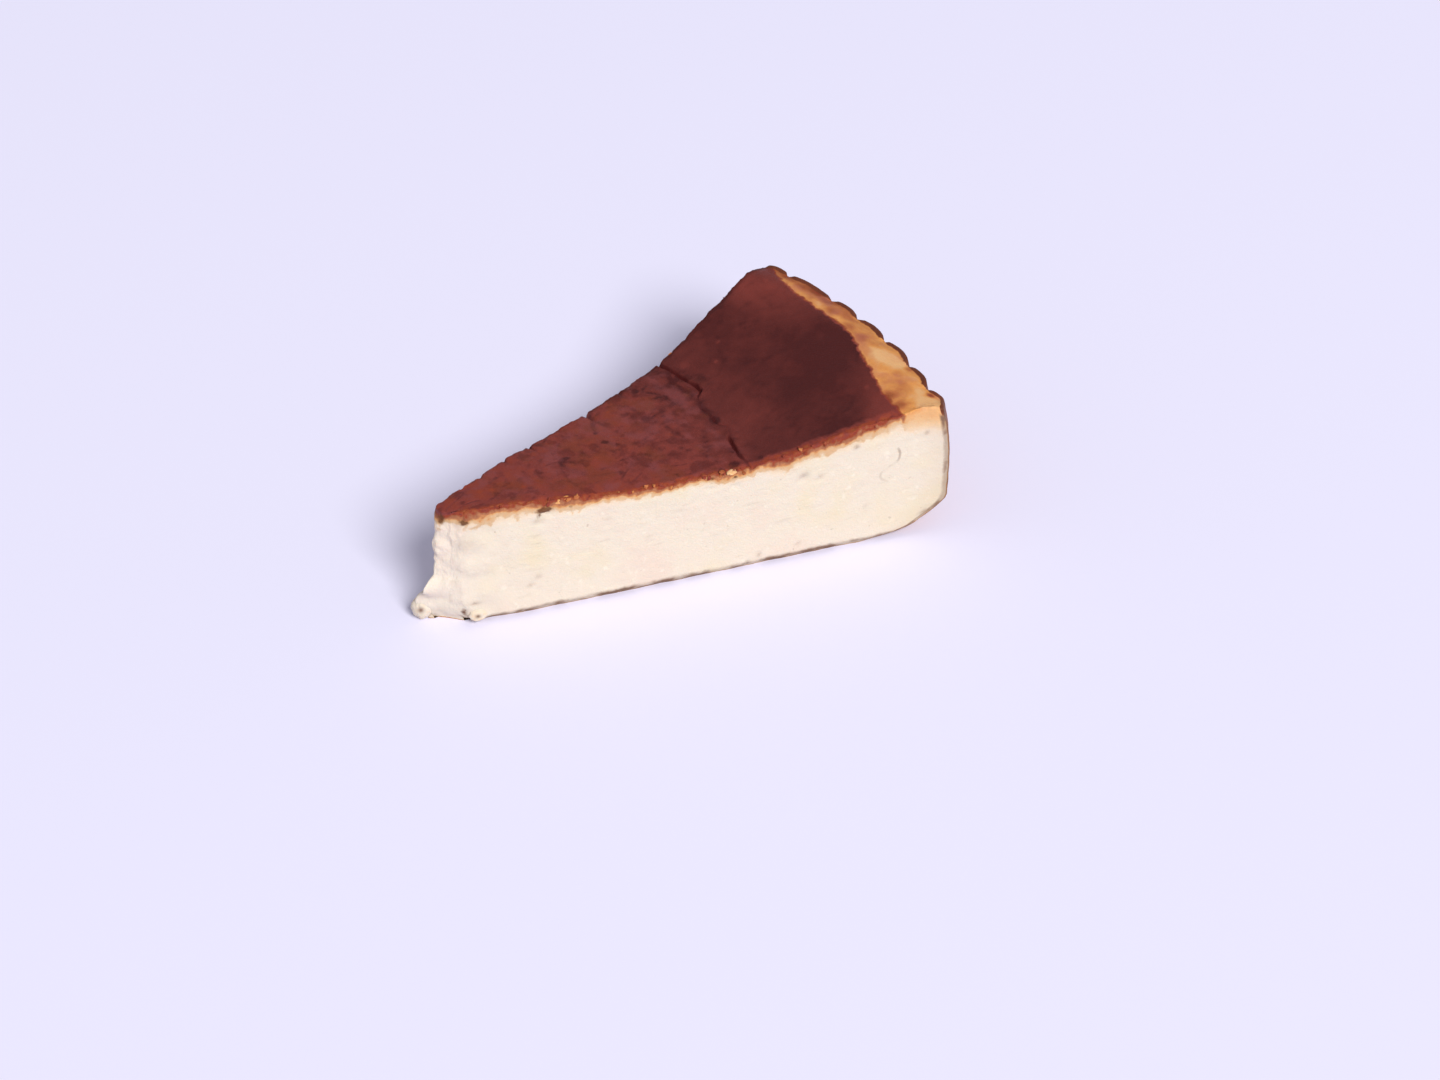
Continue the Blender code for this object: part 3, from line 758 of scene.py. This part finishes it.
def fill_inputs(tree, node, inputs):
    """Give each input a value, or join it to another node's output."""
    for socket, value in dict(inputs).items():
        if isinstance(value, bpy.types.NodeSocket):
            tree.links.new(value, node.inputs[socket])
        else:
            node.inputs[socket].default_value = value


def add_node(tree, kind, inputs=(), **settings):
    node = tree.nodes.new(kind)
    for setting, value in settings.items():
        setattr(node, setting, value)
    fill_inputs(tree, node, inputs)
    return node


def new_tree(name, kind, sizes):
    """A Geometry Nodes tree with a geometry input and output, and a named input for each size."""
    tree = bpy.data.node_groups.new(name, "GeometryNodeTree")
    tree.interface.new_socket("Geometry", in_out="INPUT", socket_type="NodeSocketGeometry")
    for size in sizes:
        tree.interface.new_socket(size, in_out="INPUT", socket_type=kind)
    tree.interface.new_socket("Geometry", in_out="OUTPUT", socket_type="NodeSocketGeometry")
    return tree, add_node(tree, "NodeGroupInput").outputs


def end_tree(tree, shapes, material):
    """Make a tree's result real geometry, with its material."""
    real = add_node(tree, "GeometryNodeRealizeInstances", {"Geometry": shapes})
    dressed = add_node(tree, "GeometryNodeSetMaterial", {"Geometry": real.outputs[0], "Material": material})
    add_node(tree, "NodeGroupOutput", {"Geometry": dressed.outputs[0]})
    return tree


def grown(name, start, tree, sizes):
    """Run a tree on a starting mesh and keep the result as a plain mesh."""
    piece = placed(name, start)
    modifier = piece.modifiers.new(tree.name, "NODES")
    modifier.node_group = tree
    for item in tree.interface.items_tree:
        if item.in_out == "INPUT" and item.name in sizes:
            modifier[item.identifier] = sizes[item.name]
    mesh = bpy.data.meshes.new_from_object(piece.evaluated_get(bpy.context.evaluated_depsgraph_get()))
    piece.modifiers.remove(modifier)
    piece.data = mesh
    mesh.name = name
    return piece


def block_tree(material):
    """An even block, ready to be bent into the wedge."""
    tree, given = new_tree("even block", "NodeSocketInt", ("Columns", "Ribs", "Rows"))
    counts = {"Vertices X": given["Columns"], "Vertices Y": given["Ribs"], "Vertices Z": given["Rows"]}
    block = add_node(tree, "GeometryNodeMeshCube", {"Size": (1, 1, 1), **counts})
    return end_tree(tree, block.outputs["Mesh"], material)


def top_browning(radius, share, place):
    """How burnt the skin is: red brown in the tip half, darkest before the rim, with painted sheen making the
    far corner paler and painted shade darkening the far edge.
    """
    burnt = between(BURNT_TONES, radius / MM)[0]
    outer = smooth_step(103 * MM, 113 * MM, radius)
    burnt += outer * 0.06 * dip(share + 0.1, 0.5)
    # painted sheen: paler towards the far corner of the outer half
    burnt -= outer * 0.06 * smooth_step(0.25, 0.7, share)
    burnt -= outer * 0.07 * smooth_step(0.6, 0.95, -share)
    # painted shade: darker along the far edge
    burnt += 0.10 * smooth_step(0.95, 1.0, share)
    burnt -= 0.025 * smooth_step(0.5, 0.95, -share) * (1 - smooth_step(66 * MM, 84 * MM, radius))
    return burnt + 0.035 * unevenness(place, 11 * MM, 41)


def surface_notes(share, place, radius, wall, from_top, on_top):
    """What the finish has to know about one place on the slice, with distances in millimetres."""
    near_wall = share < -0.9 and radius > 100 * MM
    crease, pit = skin_crease(radius, share, place) if on_top else (0.0, 0.0)
    drawn = line_strength(place) + spot_strength(DRAWN_SPOTS, place) if on_top else 0.0
    hole, grey = hole_and_grey(share, radius, place)
    hair, hair_dark = hairline(radius, place.z) if near_wall else (9.0, 0.0)
    from_cut = (1 - abs(share)) * radius * SLICE_ANGLE / 2 / MM
    if share >= 0:
        from_top = max(from_top - FAR_CRUST_RAISED, 0.0)
        from_cut = max(from_cut, FAR_EDGE_KEPT) if on_top else from_cut
    return {
        "under_crust": from_top / MM,
        "from_wall": max(wall - radius, 0.0) / MM,
        "from_cut": from_cut,
        "past_burnt": (radius - amber_radius(share)) / MM,
        "browned": top_browning(radius, share, place) if on_top else 0.9,
        "crease": drawn + 0.60 * crease + 0.60 * pit,
        "from_crack": (radius - crack_radius(share)) / MM,
        "gape": crack_gape(share),
        "crown": pleat(share),
        "lip": lip(share),
        "thick": between(CRUST_THICKNESS, radius / MM)[0],
        "hole": hole,
        "grey": grey,
        "pale": spot_strength(DRAWN_PALE_SPOTS, place) if on_top else 0.0,
        "hairline": hair,
        "hairline_dark": hair_dark,
        "rim_tone_and_highlight": rim_tone_and_highlight(radius, share) if on_top and radius > 108 * MM else 0.0,
    }


def keep_notes(mesh, notes):
    for name, values in notes.items():
        mesh.attributes.new(name, "FLOAT", "POINT").data.foreach_set("value", values)


def slice_piece(material):
    lengths, shares, heights = length_stations(), share_stations(), height_stations()
    counts = {"Columns": len(lengths), "Ribs": len(shares), "Rows": len(heights)}
    piece = grown("burnt_cheesecake", bpy.data.meshes.new("start"), block_tree(material), counts)
    mesh = piece.data
    notes = {}
    for vertex in mesh.vertices:
        column = round((vertex.co.x + 0.5) * (len(lengths) - 1))
        rib = round((vertex.co.y + 0.5) * (len(shares) - 1))
        row = round((vertex.co.z + 0.5) * (len(heights) - 1))
        share, height = shares[rib], heights[row]
        place, radius, wall, from_top = slice_point(lengths[column], share, height)
        if row == 0:
            place.z = 0.0
        vertex.co = place + CAKE_CENTRE
        for name, value in surface_notes(share, place, radius, wall, from_top, height > 0.5).items():
            notes.setdefault(name, []).append(value)
    keep_notes(mesh, notes)
    keep_in_box(mesh)
    mesh.shade_smooth()
    return piece


def keep_in_box(mesh):
    """Press the fine relief back to the size of the solid it stands for."""
    low, high = SOLID_BOX
    mesh_low = [min(vertex.co[axis] for vertex in mesh.vertices) for axis in range(3)]
    mesh_high = [max(vertex.co[axis] for vertex in mesh.vertices) for axis in range(3)]
    for vertex in mesh.vertices:
        for axis in range(3):
            share = (vertex.co[axis] - mesh_low[axis]) / (mesh_high[axis] - mesh_low[axis])
            new_low = max(low[axis], mesh_low[axis])
            new_high = min(high[axis], mesh_high[axis])
            vertex.co[axis] = mix(new_low, new_high, share)


def paint(colour):
    """A colour as it is seen, 0 to 255, made ready for the shader."""
    seen = [channel / 255 for channel in colour]
    return (*(c / 12.92 if c <= 0.04045 else ((c + 0.055) / 1.055) ** 2.4 for c in seen), 1.0)


class Finish:
    """A material's nodes, written down one step after the other."""

    def __init__(self, name):
        self.material = bpy.data.materials.new(name)
        self.material.use_nodes = True
        self.tree = self.material.node_tree

    def dress(self, looks):
        """Give the shader its looks, and hand the material over."""
        fill_inputs(self.tree, self.tree.nodes["Principled BSDF"], looks)
        return self.material

    def put(self, kind, inputs=(), output=0, **settings):
        return add_node(self.tree, kind, inputs, **settings).outputs[output]

    @cached_property
    def where(self):
        """Place on the object, in millimetres."""
        place = self.put("ShaderNodeTexCoord", output="Object")
        return self.put("ShaderNodeVectorMath", {"Vector": place, "Scale": 1 / MM}, operation="SCALE")

    def noted(self, name):
        return self.put("ShaderNodeAttribute", output="Fac", attribute_name=name)

    def math(self, operation, *values):
        return self.put("ShaderNodeMath", enumerate(values), operation=operation)

    def times(self, product, *factors):
        for factor in factors:
            product = self.math("MULTIPLY", product, factor)
        return product

    def add_share(self, what, share, to):
        """A value with a share of another added to it."""
        return self.math("MULTIPLY_ADD", what, share, to)

    def cloud(self, size, detail=2.0, kind=0.0, stretch=None):
        """Soft random patches about size millimetres across, from -0.5 to 0.5."""
        where = self.where
        if stretch:
            where = self.put("ShaderNodeVectorMath", {0: where, 1: stretch}, operation="MULTIPLY")
        inputs = {"Vector": where, "W": kind * 7.7, "Scale": 1 / size, "Detail": detail}
        patches = self.put("ShaderNodeTexNoise", inputs, "Fac", noise_dimensions="4D")
        return self.math("SUBTRACT", patches, 0.5)

    def step(self, value, start, end, low=0.0, high=1.0):
        inputs = {"Value": value, "From Min": start, "From Max": end, "To Min": low, "To Max": high}
        return self.put("ShaderNodeMapRange", inputs, "Result", interpolation_type="SMOOTHSTEP")

    def fade(self, value, start, end):
        return self.step(value, start, end, 1.0, 0.0)

    def blend(self, first, second, amount):
        return self.put("ShaderNodeMix", {0: amount, 2: first, 3: second})

    def tint(self, colour, towards, *shares):
        """Turn a colour towards another, by the product of the shares."""
        inputs = {0: self.times(*shares), 6: colour, 7: paint(towards)}
        return self.put("ShaderNodeMix", inputs, 2, data_type="RGBA", blend_type="MIX")

    def tint_patches(self, colour, patches, share):
        for patch in patches:
            cloud = self.cloud(patch.size, patch.detail, patch.kind, patch.stretch)
            strength = self.step(cloud, patch.starts, patch.full, 0.0, patch.strength)
            colour = self.tint(colour, patch.colour, share, strength)
        return colour

    def ramp(self, value, stops):
        ramp = add_node(self.tree, "ShaderNodeValToRGB", {"Fac": value})
        elements = ramp.color_ramp.elements
        while len(elements) < len(stops):
            elements.new(0.5)
        for element, (position, colour) in zip(elements, stops):
            element.position = position
            element.color = paint(colour)
        return ramp.outputs["Color"]

    def bump(self, height, distance):
        return self.put("ShaderNodeBump", {"Height": height, "Distance": distance, "Strength": 1.0}, "Normal")


class CheeseFinish(Finish):
    """The slice's finish, with what its layers share: patches, notes of the surface, and the tip half."""

    def __init__(self):
        super().__init__("burnt basque cheesecake")
        self.middling = self.cloud(4, kind=2)
        self.ragged = self.cloud(1.9, 3.0, kind=3)
        self.coarse = self.cloud(3.1, kind=14)
        self.dash = self.step(self.cloud(4.5, kind=11), -0.13, 0.12, 0.30, 1.0)
        self.high = self.put("ShaderNodeSeparateXYZ", {0: self.where}, "Z")
        shared = ("under_crust", "from_wall", "from_cut", "past_burnt", "from_crack", "gape", "thick", "lip")
        for note in shared:
            setattr(self, note, self.noted(note))
        self.tip_half = self.step(self.from_crack, 4, -4)


def burnt_skin(f):
    """Burnt skin with creases and pale spots, broken to a paler band along each cut."""
    mottle = f.times(f.cloud(2.3, 3.0, kind=15), f.blend(0.06, 0.26, f.tip_half))
    burnt = f.math("ADD", f.add_share(f.middling, 0.05, f.noted("browned")), mottle)
    patchy = f.step(f.cloud(1.6, kind=19), -0.16, 0.14, 0.35, 1.2)
    burnt = f.add_share(f.times(f.noted("crease"), patchy), 0.20, burnt)
    burnt = f.add_share(f.noted("pale"), -0.10, burnt)
    unevenly = f.math("ADD", f.from_cut, f.add_share(f.ragged, 1.6, f.times(f.coarse, 1.6)))
    broken = f.fade(f.math("DIVIDE", unevenly, f.step(f.past_burnt, -40, -30, 1.5, 2.5)), 0.15, 1.1)
    broken_tone = f.add_share(f.cloud(1.3, kind=12), 0.75, f.step(f.past_burnt, -40, -30, 0.67, 0.71))
    return f.blend(burnt, f.math("MINIMUM", burnt, broken_tone), broken)


def lobe_lips(f):
    """1 on the burnt lips of the lobes, where they curl up at the rim."""
    depth = f.math("DIVIDE", f.add_share(f.ragged, 0.9, f.from_wall), f.math("MAXIMUM", f.lip, 0.05))
    return f.times(f.fade(depth, 0.95, 1.60), f.step(f.lip, 0.05, 0.3), f.fade(f.under_crust, 0.4, 2.0))


def top_skin(f, amber, lips):
    """The whole top: burnt, then amber at the rim, with the lips of the lobes."""
    rim = f.add_share(f.middling, 0.22, f.add_share(f.ragged, 0.14, f.noted("rim_tone_and_highlight")))
    skin = f.blend(burnt_skin(f), f.math("ADD", rim, 0.34), amber)
    return f.math("MAXIMUM", skin, f.times(lips, f.add_share(f.middling, 0.6, 0.84)))


def crust_on_cuts(f, skin):
    """The crust as the cuts show it: dark, then orange."""
    uneven = f.math("MAXIMUM", f.add_share(f.ragged, 1.2, f.add_share(f.coarse, 1.4, 1.0)), 0.7)
    depth = f.math("DIVIDE", f.times(f.under_crust, uneven), f.thick)
    kept = f.blend(0.74, 0.84, f.step(f.past_burnt, -34, -26))
    skin = f.times(skin, f.step(depth, 0.1, 0.50, 1.0, kept))
    return f.times(skin, f.step(depth, 0.50, 1.05, 1.0, 0.36), f.fade(depth, 0.95, 1.9))


def wall_tone(f):
    """The wall: mottled amber, browner towards the top and between the lobes."""
    tone = f.add_share(f.middling, 0.45, 0.40)
    tone = f.math("ADD", tone, f.step(f.high, 22, 33, 0.0, 0.40))
    tone = f.math("ADD", tone, f.step(f.noted("crown"), 0.55, 0.0, 0.0, 0.16))
    depth = f.add_share(f.ragged, 0.5, f.from_wall)
    return f.times(tone, f.fade(depth, 0.15, 0.5), f.step(f.under_crust, 0.0, 0.6))


def base_tone(f):
    """The base, a thin brown line along the cuts in dashes."""
    depth = f.add_share(f.ragged, 0.5, f.high)
    return f.times(f.add_share(f.middling, 0.55, 0.46), f.dash, f.fade(depth, 0.05, 0.40))


def glow(f):
    """A long glow into the cream, under the amber rim and the crust."""
    under_rim = f.times(f.step(f.under_crust, 0.8, 6.5, 0.16, 0.0), f.step(f.from_wall, 20, 4))
    depth = f.math("DIVIDE", f.under_crust, f.thick)
    return f.math("ADD", under_rim, f.step(depth, 0.5, 2.5, 0.10, 0.0))


def tint_crust(f, colour, browned, amber, lips):
    """A duller tan under the crust, pinker patches on the amber rim, and duller brown lips."""
    dull = f.times(f.step(browned, 0.02, 0.12), f.step(browned, 0.68, 0.54))
    dull = f.times(dull, f.step(f.under_crust, 0.1, 0.6, 0.0, 0.36), f.step(f.from_wall, 0.5, 2.5))
    colour = f.tint(colour, DULL_TAN, dull, f.step(f.past_burnt, 0.0, 2.0, 1.0, 0.55))
    pink = f.times(amber, f.step(f.cloud(5.0, kind=20), -0.02, 0.14, 0.0, 0.40))
    colour = f.tint(colour, RIM_PINK, pink, f.step(browned, 0.20, 0.34), f.fade(f.under_crust, 0.0, 1.0))
    return f.tint(colour, LIP_BROWN, lips, 0.75)


def tint_cream(f, colour, browned):
    """Patches in the cream, painted shade darkening it near the wall, and painted light making it paler on
    the nose.
    """
    cream = f.step(browned, 0.16, 0.04)
    colour = f.tint_patches(colour, CREAM_PATCHES, cream)
    # painted shade, darker towards the outer wall
    colour = f.tint(colour, PAINTED_WALL_SHADE, cream, f.step(f.from_wall, 0.5, 9.0, 0.20, 0.0))
    # painted light, paler cream on the nose
    return f.tint(colour, PAINTED_NOSE_LIGHT, f.step(f.from_crack, -64, -70, 0.0, 0.34), f.step(browned, 0.14, 0.03))


def tint_marks(f, colour):
    """Grey brown skin in dashes along the outline of the cut, grey marks, some painted shade, the hairline's
    painted shade, and dark holes.
    """
    depth = f.add_share(f.ragged, 0.9, f.math("MINIMUM", f.times(f.high, 0.85), f.from_wall))
    side = f.times(f.step(f.high, 1, 5), f.step(f.from_wall, 0.1, 0.6, 0.9, 0.5))
    on_cut = f.times(f.fade(f.from_cut, 0.6, 2.4), f.step(f.under_crust, 0.6, 1.6))
    outline = f.times(f.fade(depth, 0.95, 1.90), f.math("MAXIMUM", f.dash, side), on_cut)
    # painted shade along the hairline crevice
    hair = f.step(f.math("ABSOLUTE", f.noted("hairline")), 0.12, 0.46, 0.52, 0.0)
    grey = f.math("MAXIMUM", outline, f.times(hair, f.noted("hairline_dark")))
    grey = f.math("MAXIMUM", grey, f.times(f.noted("grey"), f.add_share(f.ragged, 1.2, 1.0)))
    colour = f.tint(colour, GREY_SKIN_AND_SHADE, grey)
    hole = f.times(f.noted("hole"), f.add_share(f.cloud(1.0, kind=17), 2.4, 1.0))
    return f.tint(colour, HOLE_DARK, f.step(hole, 0.12, 0.72, 0.0, 0.9))


def tint_crack(f, colour):
    """Painted shade inside the crack, darker where it gapes wider."""
    away = f.math("ADD", f.math("ABSOLUTE", f.from_crack), f.times(f.ragged, 0.8))
    inside = f.fade(f.math("DIVIDE", away, f.blend(0.24, 0.72, f.gape)), 0.4, 1.1)
    return f.tint(colour, CRACK_PAINTED_SHADE, inside, f.fade(f.under_crust, 0.5, 1.6), f.blend(0.0, 0.95, f.gape))


def baked_finish():
    """Cream inside, browning through amber to a burnt skin, from how far each spot is from the outside."""
    f = CheeseFinish()
    amber = f.step(f.add_share(f.ragged, 2.6, f.past_burnt), -0.4, 0.8)
    lips = lobe_lips(f)
    browned = crust_on_cuts(f, top_skin(f, amber, lips))
    for layer in (wall_tone(f), base_tone(f), glow(f)):
        browned = f.math("MAXIMUM", browned, layer)
    colour = tint_crust(f, f.ramp(browned, BAKING), browned, amber, lips)
    colour = f.tint_patches(colour, SKIN_PATCHES, f.times(f.step(browned, 0.72, 0.79), f.tip_half))
    colour = tint_cream(f, colour, browned)
    colour = tint_crack(f, tint_marks(f, colour))
    grain = f.math("ADD", f.times(f.cloud(0.8, kind=4), 0.6), f.cloud(0.35, kind=5))
    return f.dress({
        "Base Color": colour, "Roughness": f.step(browned, 0.2, 0.9, 0.62, 0.46), "Specular IOR Level": 0.09,
        "Subsurface Weight": 0.15, "Subsurface Radius": (1.0, 0.6, 0.4), "Subsurface Scale": 1.2 * MM,
        "Normal": f.bump(grain, 0.14 * MM),
    })


def crumb_finish():
    """Crumbs: each as brown as noted on it, a little uneven."""
    f = Finish("cheesecake crumb")
    browned = f.math("ADD", f.noted("browned"), f.times(f.cloud(0.9, kind=6), 0.16))
    return f.dress({
        "Base Color": f.tint(f.ramp(browned, BAKING), HOLE_DARK, f.noted("hole")),
        "Roughness": 0.6, "Specular IOR Level": 0.14,
        "Subsurface Weight": 0.15, "Subsurface Radius": (1.0, 0.6, 0.4), "Subsurface Scale": 1.0 * MM,
        "Normal": f.bump(f.cloud(0.4, kind=7), 0.10 * MM),
    })


def big_crumbs(material):
    """The lumps that have broken from the tip and from the crust's edge, and stuck."""
    lumps = bmesh.new()
    notes = {"browned": [], "hole": []}
    for number, crumb in enumerate(BIG_CRUMBS):
        fineness, lumpy, cleft = LARGE_LUMP if crumb.length > LARGE_FROM else SMALL_LUMP
        ball = bmesh.ops.create_icosphere(lumps, subdivisions=fineness, radius=1.0)["verts"]
        sizes = Matrix.Diagonal((crumb.length, crumb.width, crumb.height)) * MM
        centre = Vector((crumb.x, crumb.y, crumb.z)) * MM
        for vertex in ball:
            lump = 1 + lumpy * unevenness(vertex.co, 0.8, 10 + number)
            lump += cleft * (abs(unevenness(vertex.co, 0.55, 14 + number)) - 0.25)
            lump += 0.03 * unevenness(vertex.co, 0.14, 18 + number)
            sunk = 0.0
            if crumb.dimple:
                sunk = math.exp(-((vertex.co - crumb.dimple.normalized()).length / 0.30) ** 2)
            vertex.co = sizes @ vertex.co * (lump - 0.10 * sunk) + centre
            vertex.co.z = max(vertex.co.z, 0.02 * MM)
            vertex.co += CAKE_CENTRE
            notes["browned"].append(crumb.browned)
            notes["hole"].append(0.85 * sunk)
    mesh = mesh_of("big_crumbs", lumps)
    keep_notes(mesh, notes)
    mesh.materials.append(material)
    mesh.shade_smooth()
    return placed("big_crumbs", mesh)


def crust_edge_strip():
    """A narrow strip along the broken crust edge of both cuts, noting where crumbs gather."""
    strip = bmesh.new()
    gather = strip.verts.layers.float.new("gather")
    lengths = [STRIP_START + (1 - STRIP_START) * step / 130 for step in range(131)]
    lengths += [1 + (STRIP_END - 1) * step / 70 for step in range(1, 71)]
    for side, corners in ((-1, NEAR_STRIP), (1, FAR_STRIP)):
        rows = []
        for length in lengths:
            row = []
            for share, height in corners:
                place, radius, *_ = slice_point(length, side * share, height)
                vertex = strip.verts.new(place + CAKE_CENTRE)
                clusters = sum(dip(radius / MM - middle, 2 * half) for middle, half in CRUMBS_GATHER)
                vertex[gather] = 0.25 + (clusters if side < 0 else 0.15)
                row.append(vertex)
            rows.append(row)
        for row, next_row in zip(rows, rows[1:]):
            for corner in range(2):
                strip.faces.new((row[corner], row[corner + 1], next_row[corner + 1], next_row[corner]))
    return mesh_of("crust_edge", strip)


def random_value(tree, kind, low, high, seed):
    first, second, result = {"FLOAT": (2, 3, 1), "FLOAT_VECTOR": (0, 1, 0)}[kind]
    inputs = {first: low, second: high, "Seed": seed}
    return add_node(tree, "FunctionNodeRandomValue", inputs, data_type=kind).outputs[result]


def crumb_shape(tree, seed):
    """One angular crumb, about one unit across: the hull of a few scattered points."""
    line = add_node(tree, "GeometryNodeMeshLine", {"Count": 16, "Offset": (0, 0, 0)})
    spots = random_value(tree, "FLOAT_VECTOR", (-1, -0.8, -0.7), (1, 0.8, 0.7), seed)
    scatter = add_node(tree, "GeometryNodeSetPosition", {"Geometry": line.outputs["Mesh"], "Position": spots})
    hull = add_node(tree, "GeometryNodeConvexHull", {"Geometry": scatter.outputs["Geometry"]})
    shape = add_node(tree, "GeometryNodeGeometryToInstance", {"Geometry": hull.outputs["Convex Hull"]})
    return shape.outputs["Instances"]


def crumb_tree(material):
    """Crumbs of a few shapes, scattered over a strip at random turns and sizes, some pale and some brown."""
    names = ("Crumbs per area", "Smallest", "Largest")
    tree, given = new_tree("scattered crumbs", "NodeSocketFloat", names)
    gather = add_node(tree, "GeometryNodeInputNamedAttribute", {"Name": "gather"}, data_type="FLOAT")
    crowding = {0: gather.outputs["Attribute"], 1: given["Crumbs per area"]}
    density = add_node(tree, "ShaderNodeMath", crowding, operation="MULTIPLY").outputs[0]
    spread = {"Mesh": given["Geometry"], "Density": density, "Seed": 11}
    spots = add_node(tree, "GeometryNodeDistributePointsOnFaces", spread)
    shapes = add_node(tree, "GeometryNodeJoinGeometry")
    for seed in (3, 5, 8, 13):
        tree.links.new(crumb_shape(tree, seed), shapes.inputs["Geometry"])
    strewn = add_node(tree, "GeometryNodeInstanceOnPoints", {
        "Points": spots.outputs["Points"], "Instance": shapes.outputs["Geometry"], "Pick Instance": True,
        "Rotation": random_value(tree, "FLOAT_VECTOR", (0, 0, 0), (6.283, 6.283, 6.283), 21),
        "Scale": random_value(tree, "FLOAT", given["Smallest"], given["Largest"], 22),
    })
    tone = add_node(tree, "ShaderNodeMapRange", {
        "Value": random_value(tree, "FLOAT", 0.0, 1.0, 23), "From Min": 0.35, "From Max": 0.65,
        "To Min": PALEST_CRUMB, "To Max": BROWNEST_CRUMB,
    }, interpolation_type="SMOOTHSTEP")
    noted = {"Geometry": strewn.outputs["Instances"], "Name": "browned", "Value": tone.outputs["Result"]}
    store = add_node(tree, "GeometryNodeStoreNamedAttribute", noted, domain="INSTANCE")
    return end_tree(tree, store.outputs["Geometry"], material)


def edge_crumbs(material):
    sizes = {"Crumbs per area": CRUMBS_PER_AREA, "Smallest": CRUMB_SIZES[0], "Largest": CRUMB_SIZES[1]}
    return grown("edge_crumbs", crust_edge_strip(), crumb_tree(material), sizes)


def floor_piece():
    looks = {"Base Color": paint(FLOOR_COLOUR), "Roughness": 0.9, "Specular IOR Level": 0.1}
    sheet = bmesh.new()
    bmesh.ops.create_grid(sheet, x_segments=1, y_segments=1, size=4)
    mesh = mesh_of("floor", sheet)
    mesh.materials.append(Finish("pale lilac paper").dress(looks))
    return placed("floor", mesh)


def look_at(thing, target):
    thing.rotation_euler = (target - thing.location).to_track_quat("-Z", "Y").to_euler()


def add_camera():
    lens = bpy.data.cameras.new("camera")
    lens.lens = CAMERA_LENS
    lens.sensor_width = SENSOR_WIDTH
    camera = placed("camera", lens)
    camera.location = CAMERA_PLACE + CAKE_CENTRE
    look_at(camera, CAMERA_TARGET + CAKE_CENTRE)
    bpy.context.scene.camera = camera


def add_light(name, turn, rise, distance, size, power, colour):
    """A soft box, turned round the slice from the +X axis and raised above the floor, in degrees."""
    box = bpy.data.lights.new(name, "AREA")
    box.shape = "DISK"
    box.size = size
    box.energy = power
    box.color = colour
    light = placed(name, box)
    turn, rise = math.radians(turn), math.radians(rise)
    along, up = math.cos(rise), math.sin(rise)
    light.location = distance * Vector((math.cos(turn) * along, math.sin(turn) * along, up))
    look_at(light, Vector((0, 0, 15 * MM)))


def add_sky():
    world = bpy.data.worlds.new("soft daylight")
    world.use_nodes = True
    sky = {"Color": (0.90, 0.90, 1.0, 1), "Strength": 0.40}
    fill_inputs(world.node_tree, world.node_tree.nodes["Background"], sky)
    bpy.context.scene.world = world


crumb_paint = crumb_finish()
for piece in (slice_piece(baked_finish()), big_crumbs(crumb_paint), edge_crumbs(crumb_paint)):
    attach(piece, "root")
    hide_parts("cheesecake_slice")
floor_piece()
add_camera()
add_light("key", -99, 40, 12.0, 5.0, 1440, (1.0, 0.985, 0.96))
add_sky()
bpy.context.scene.view_settings.view_transform = "Standard"
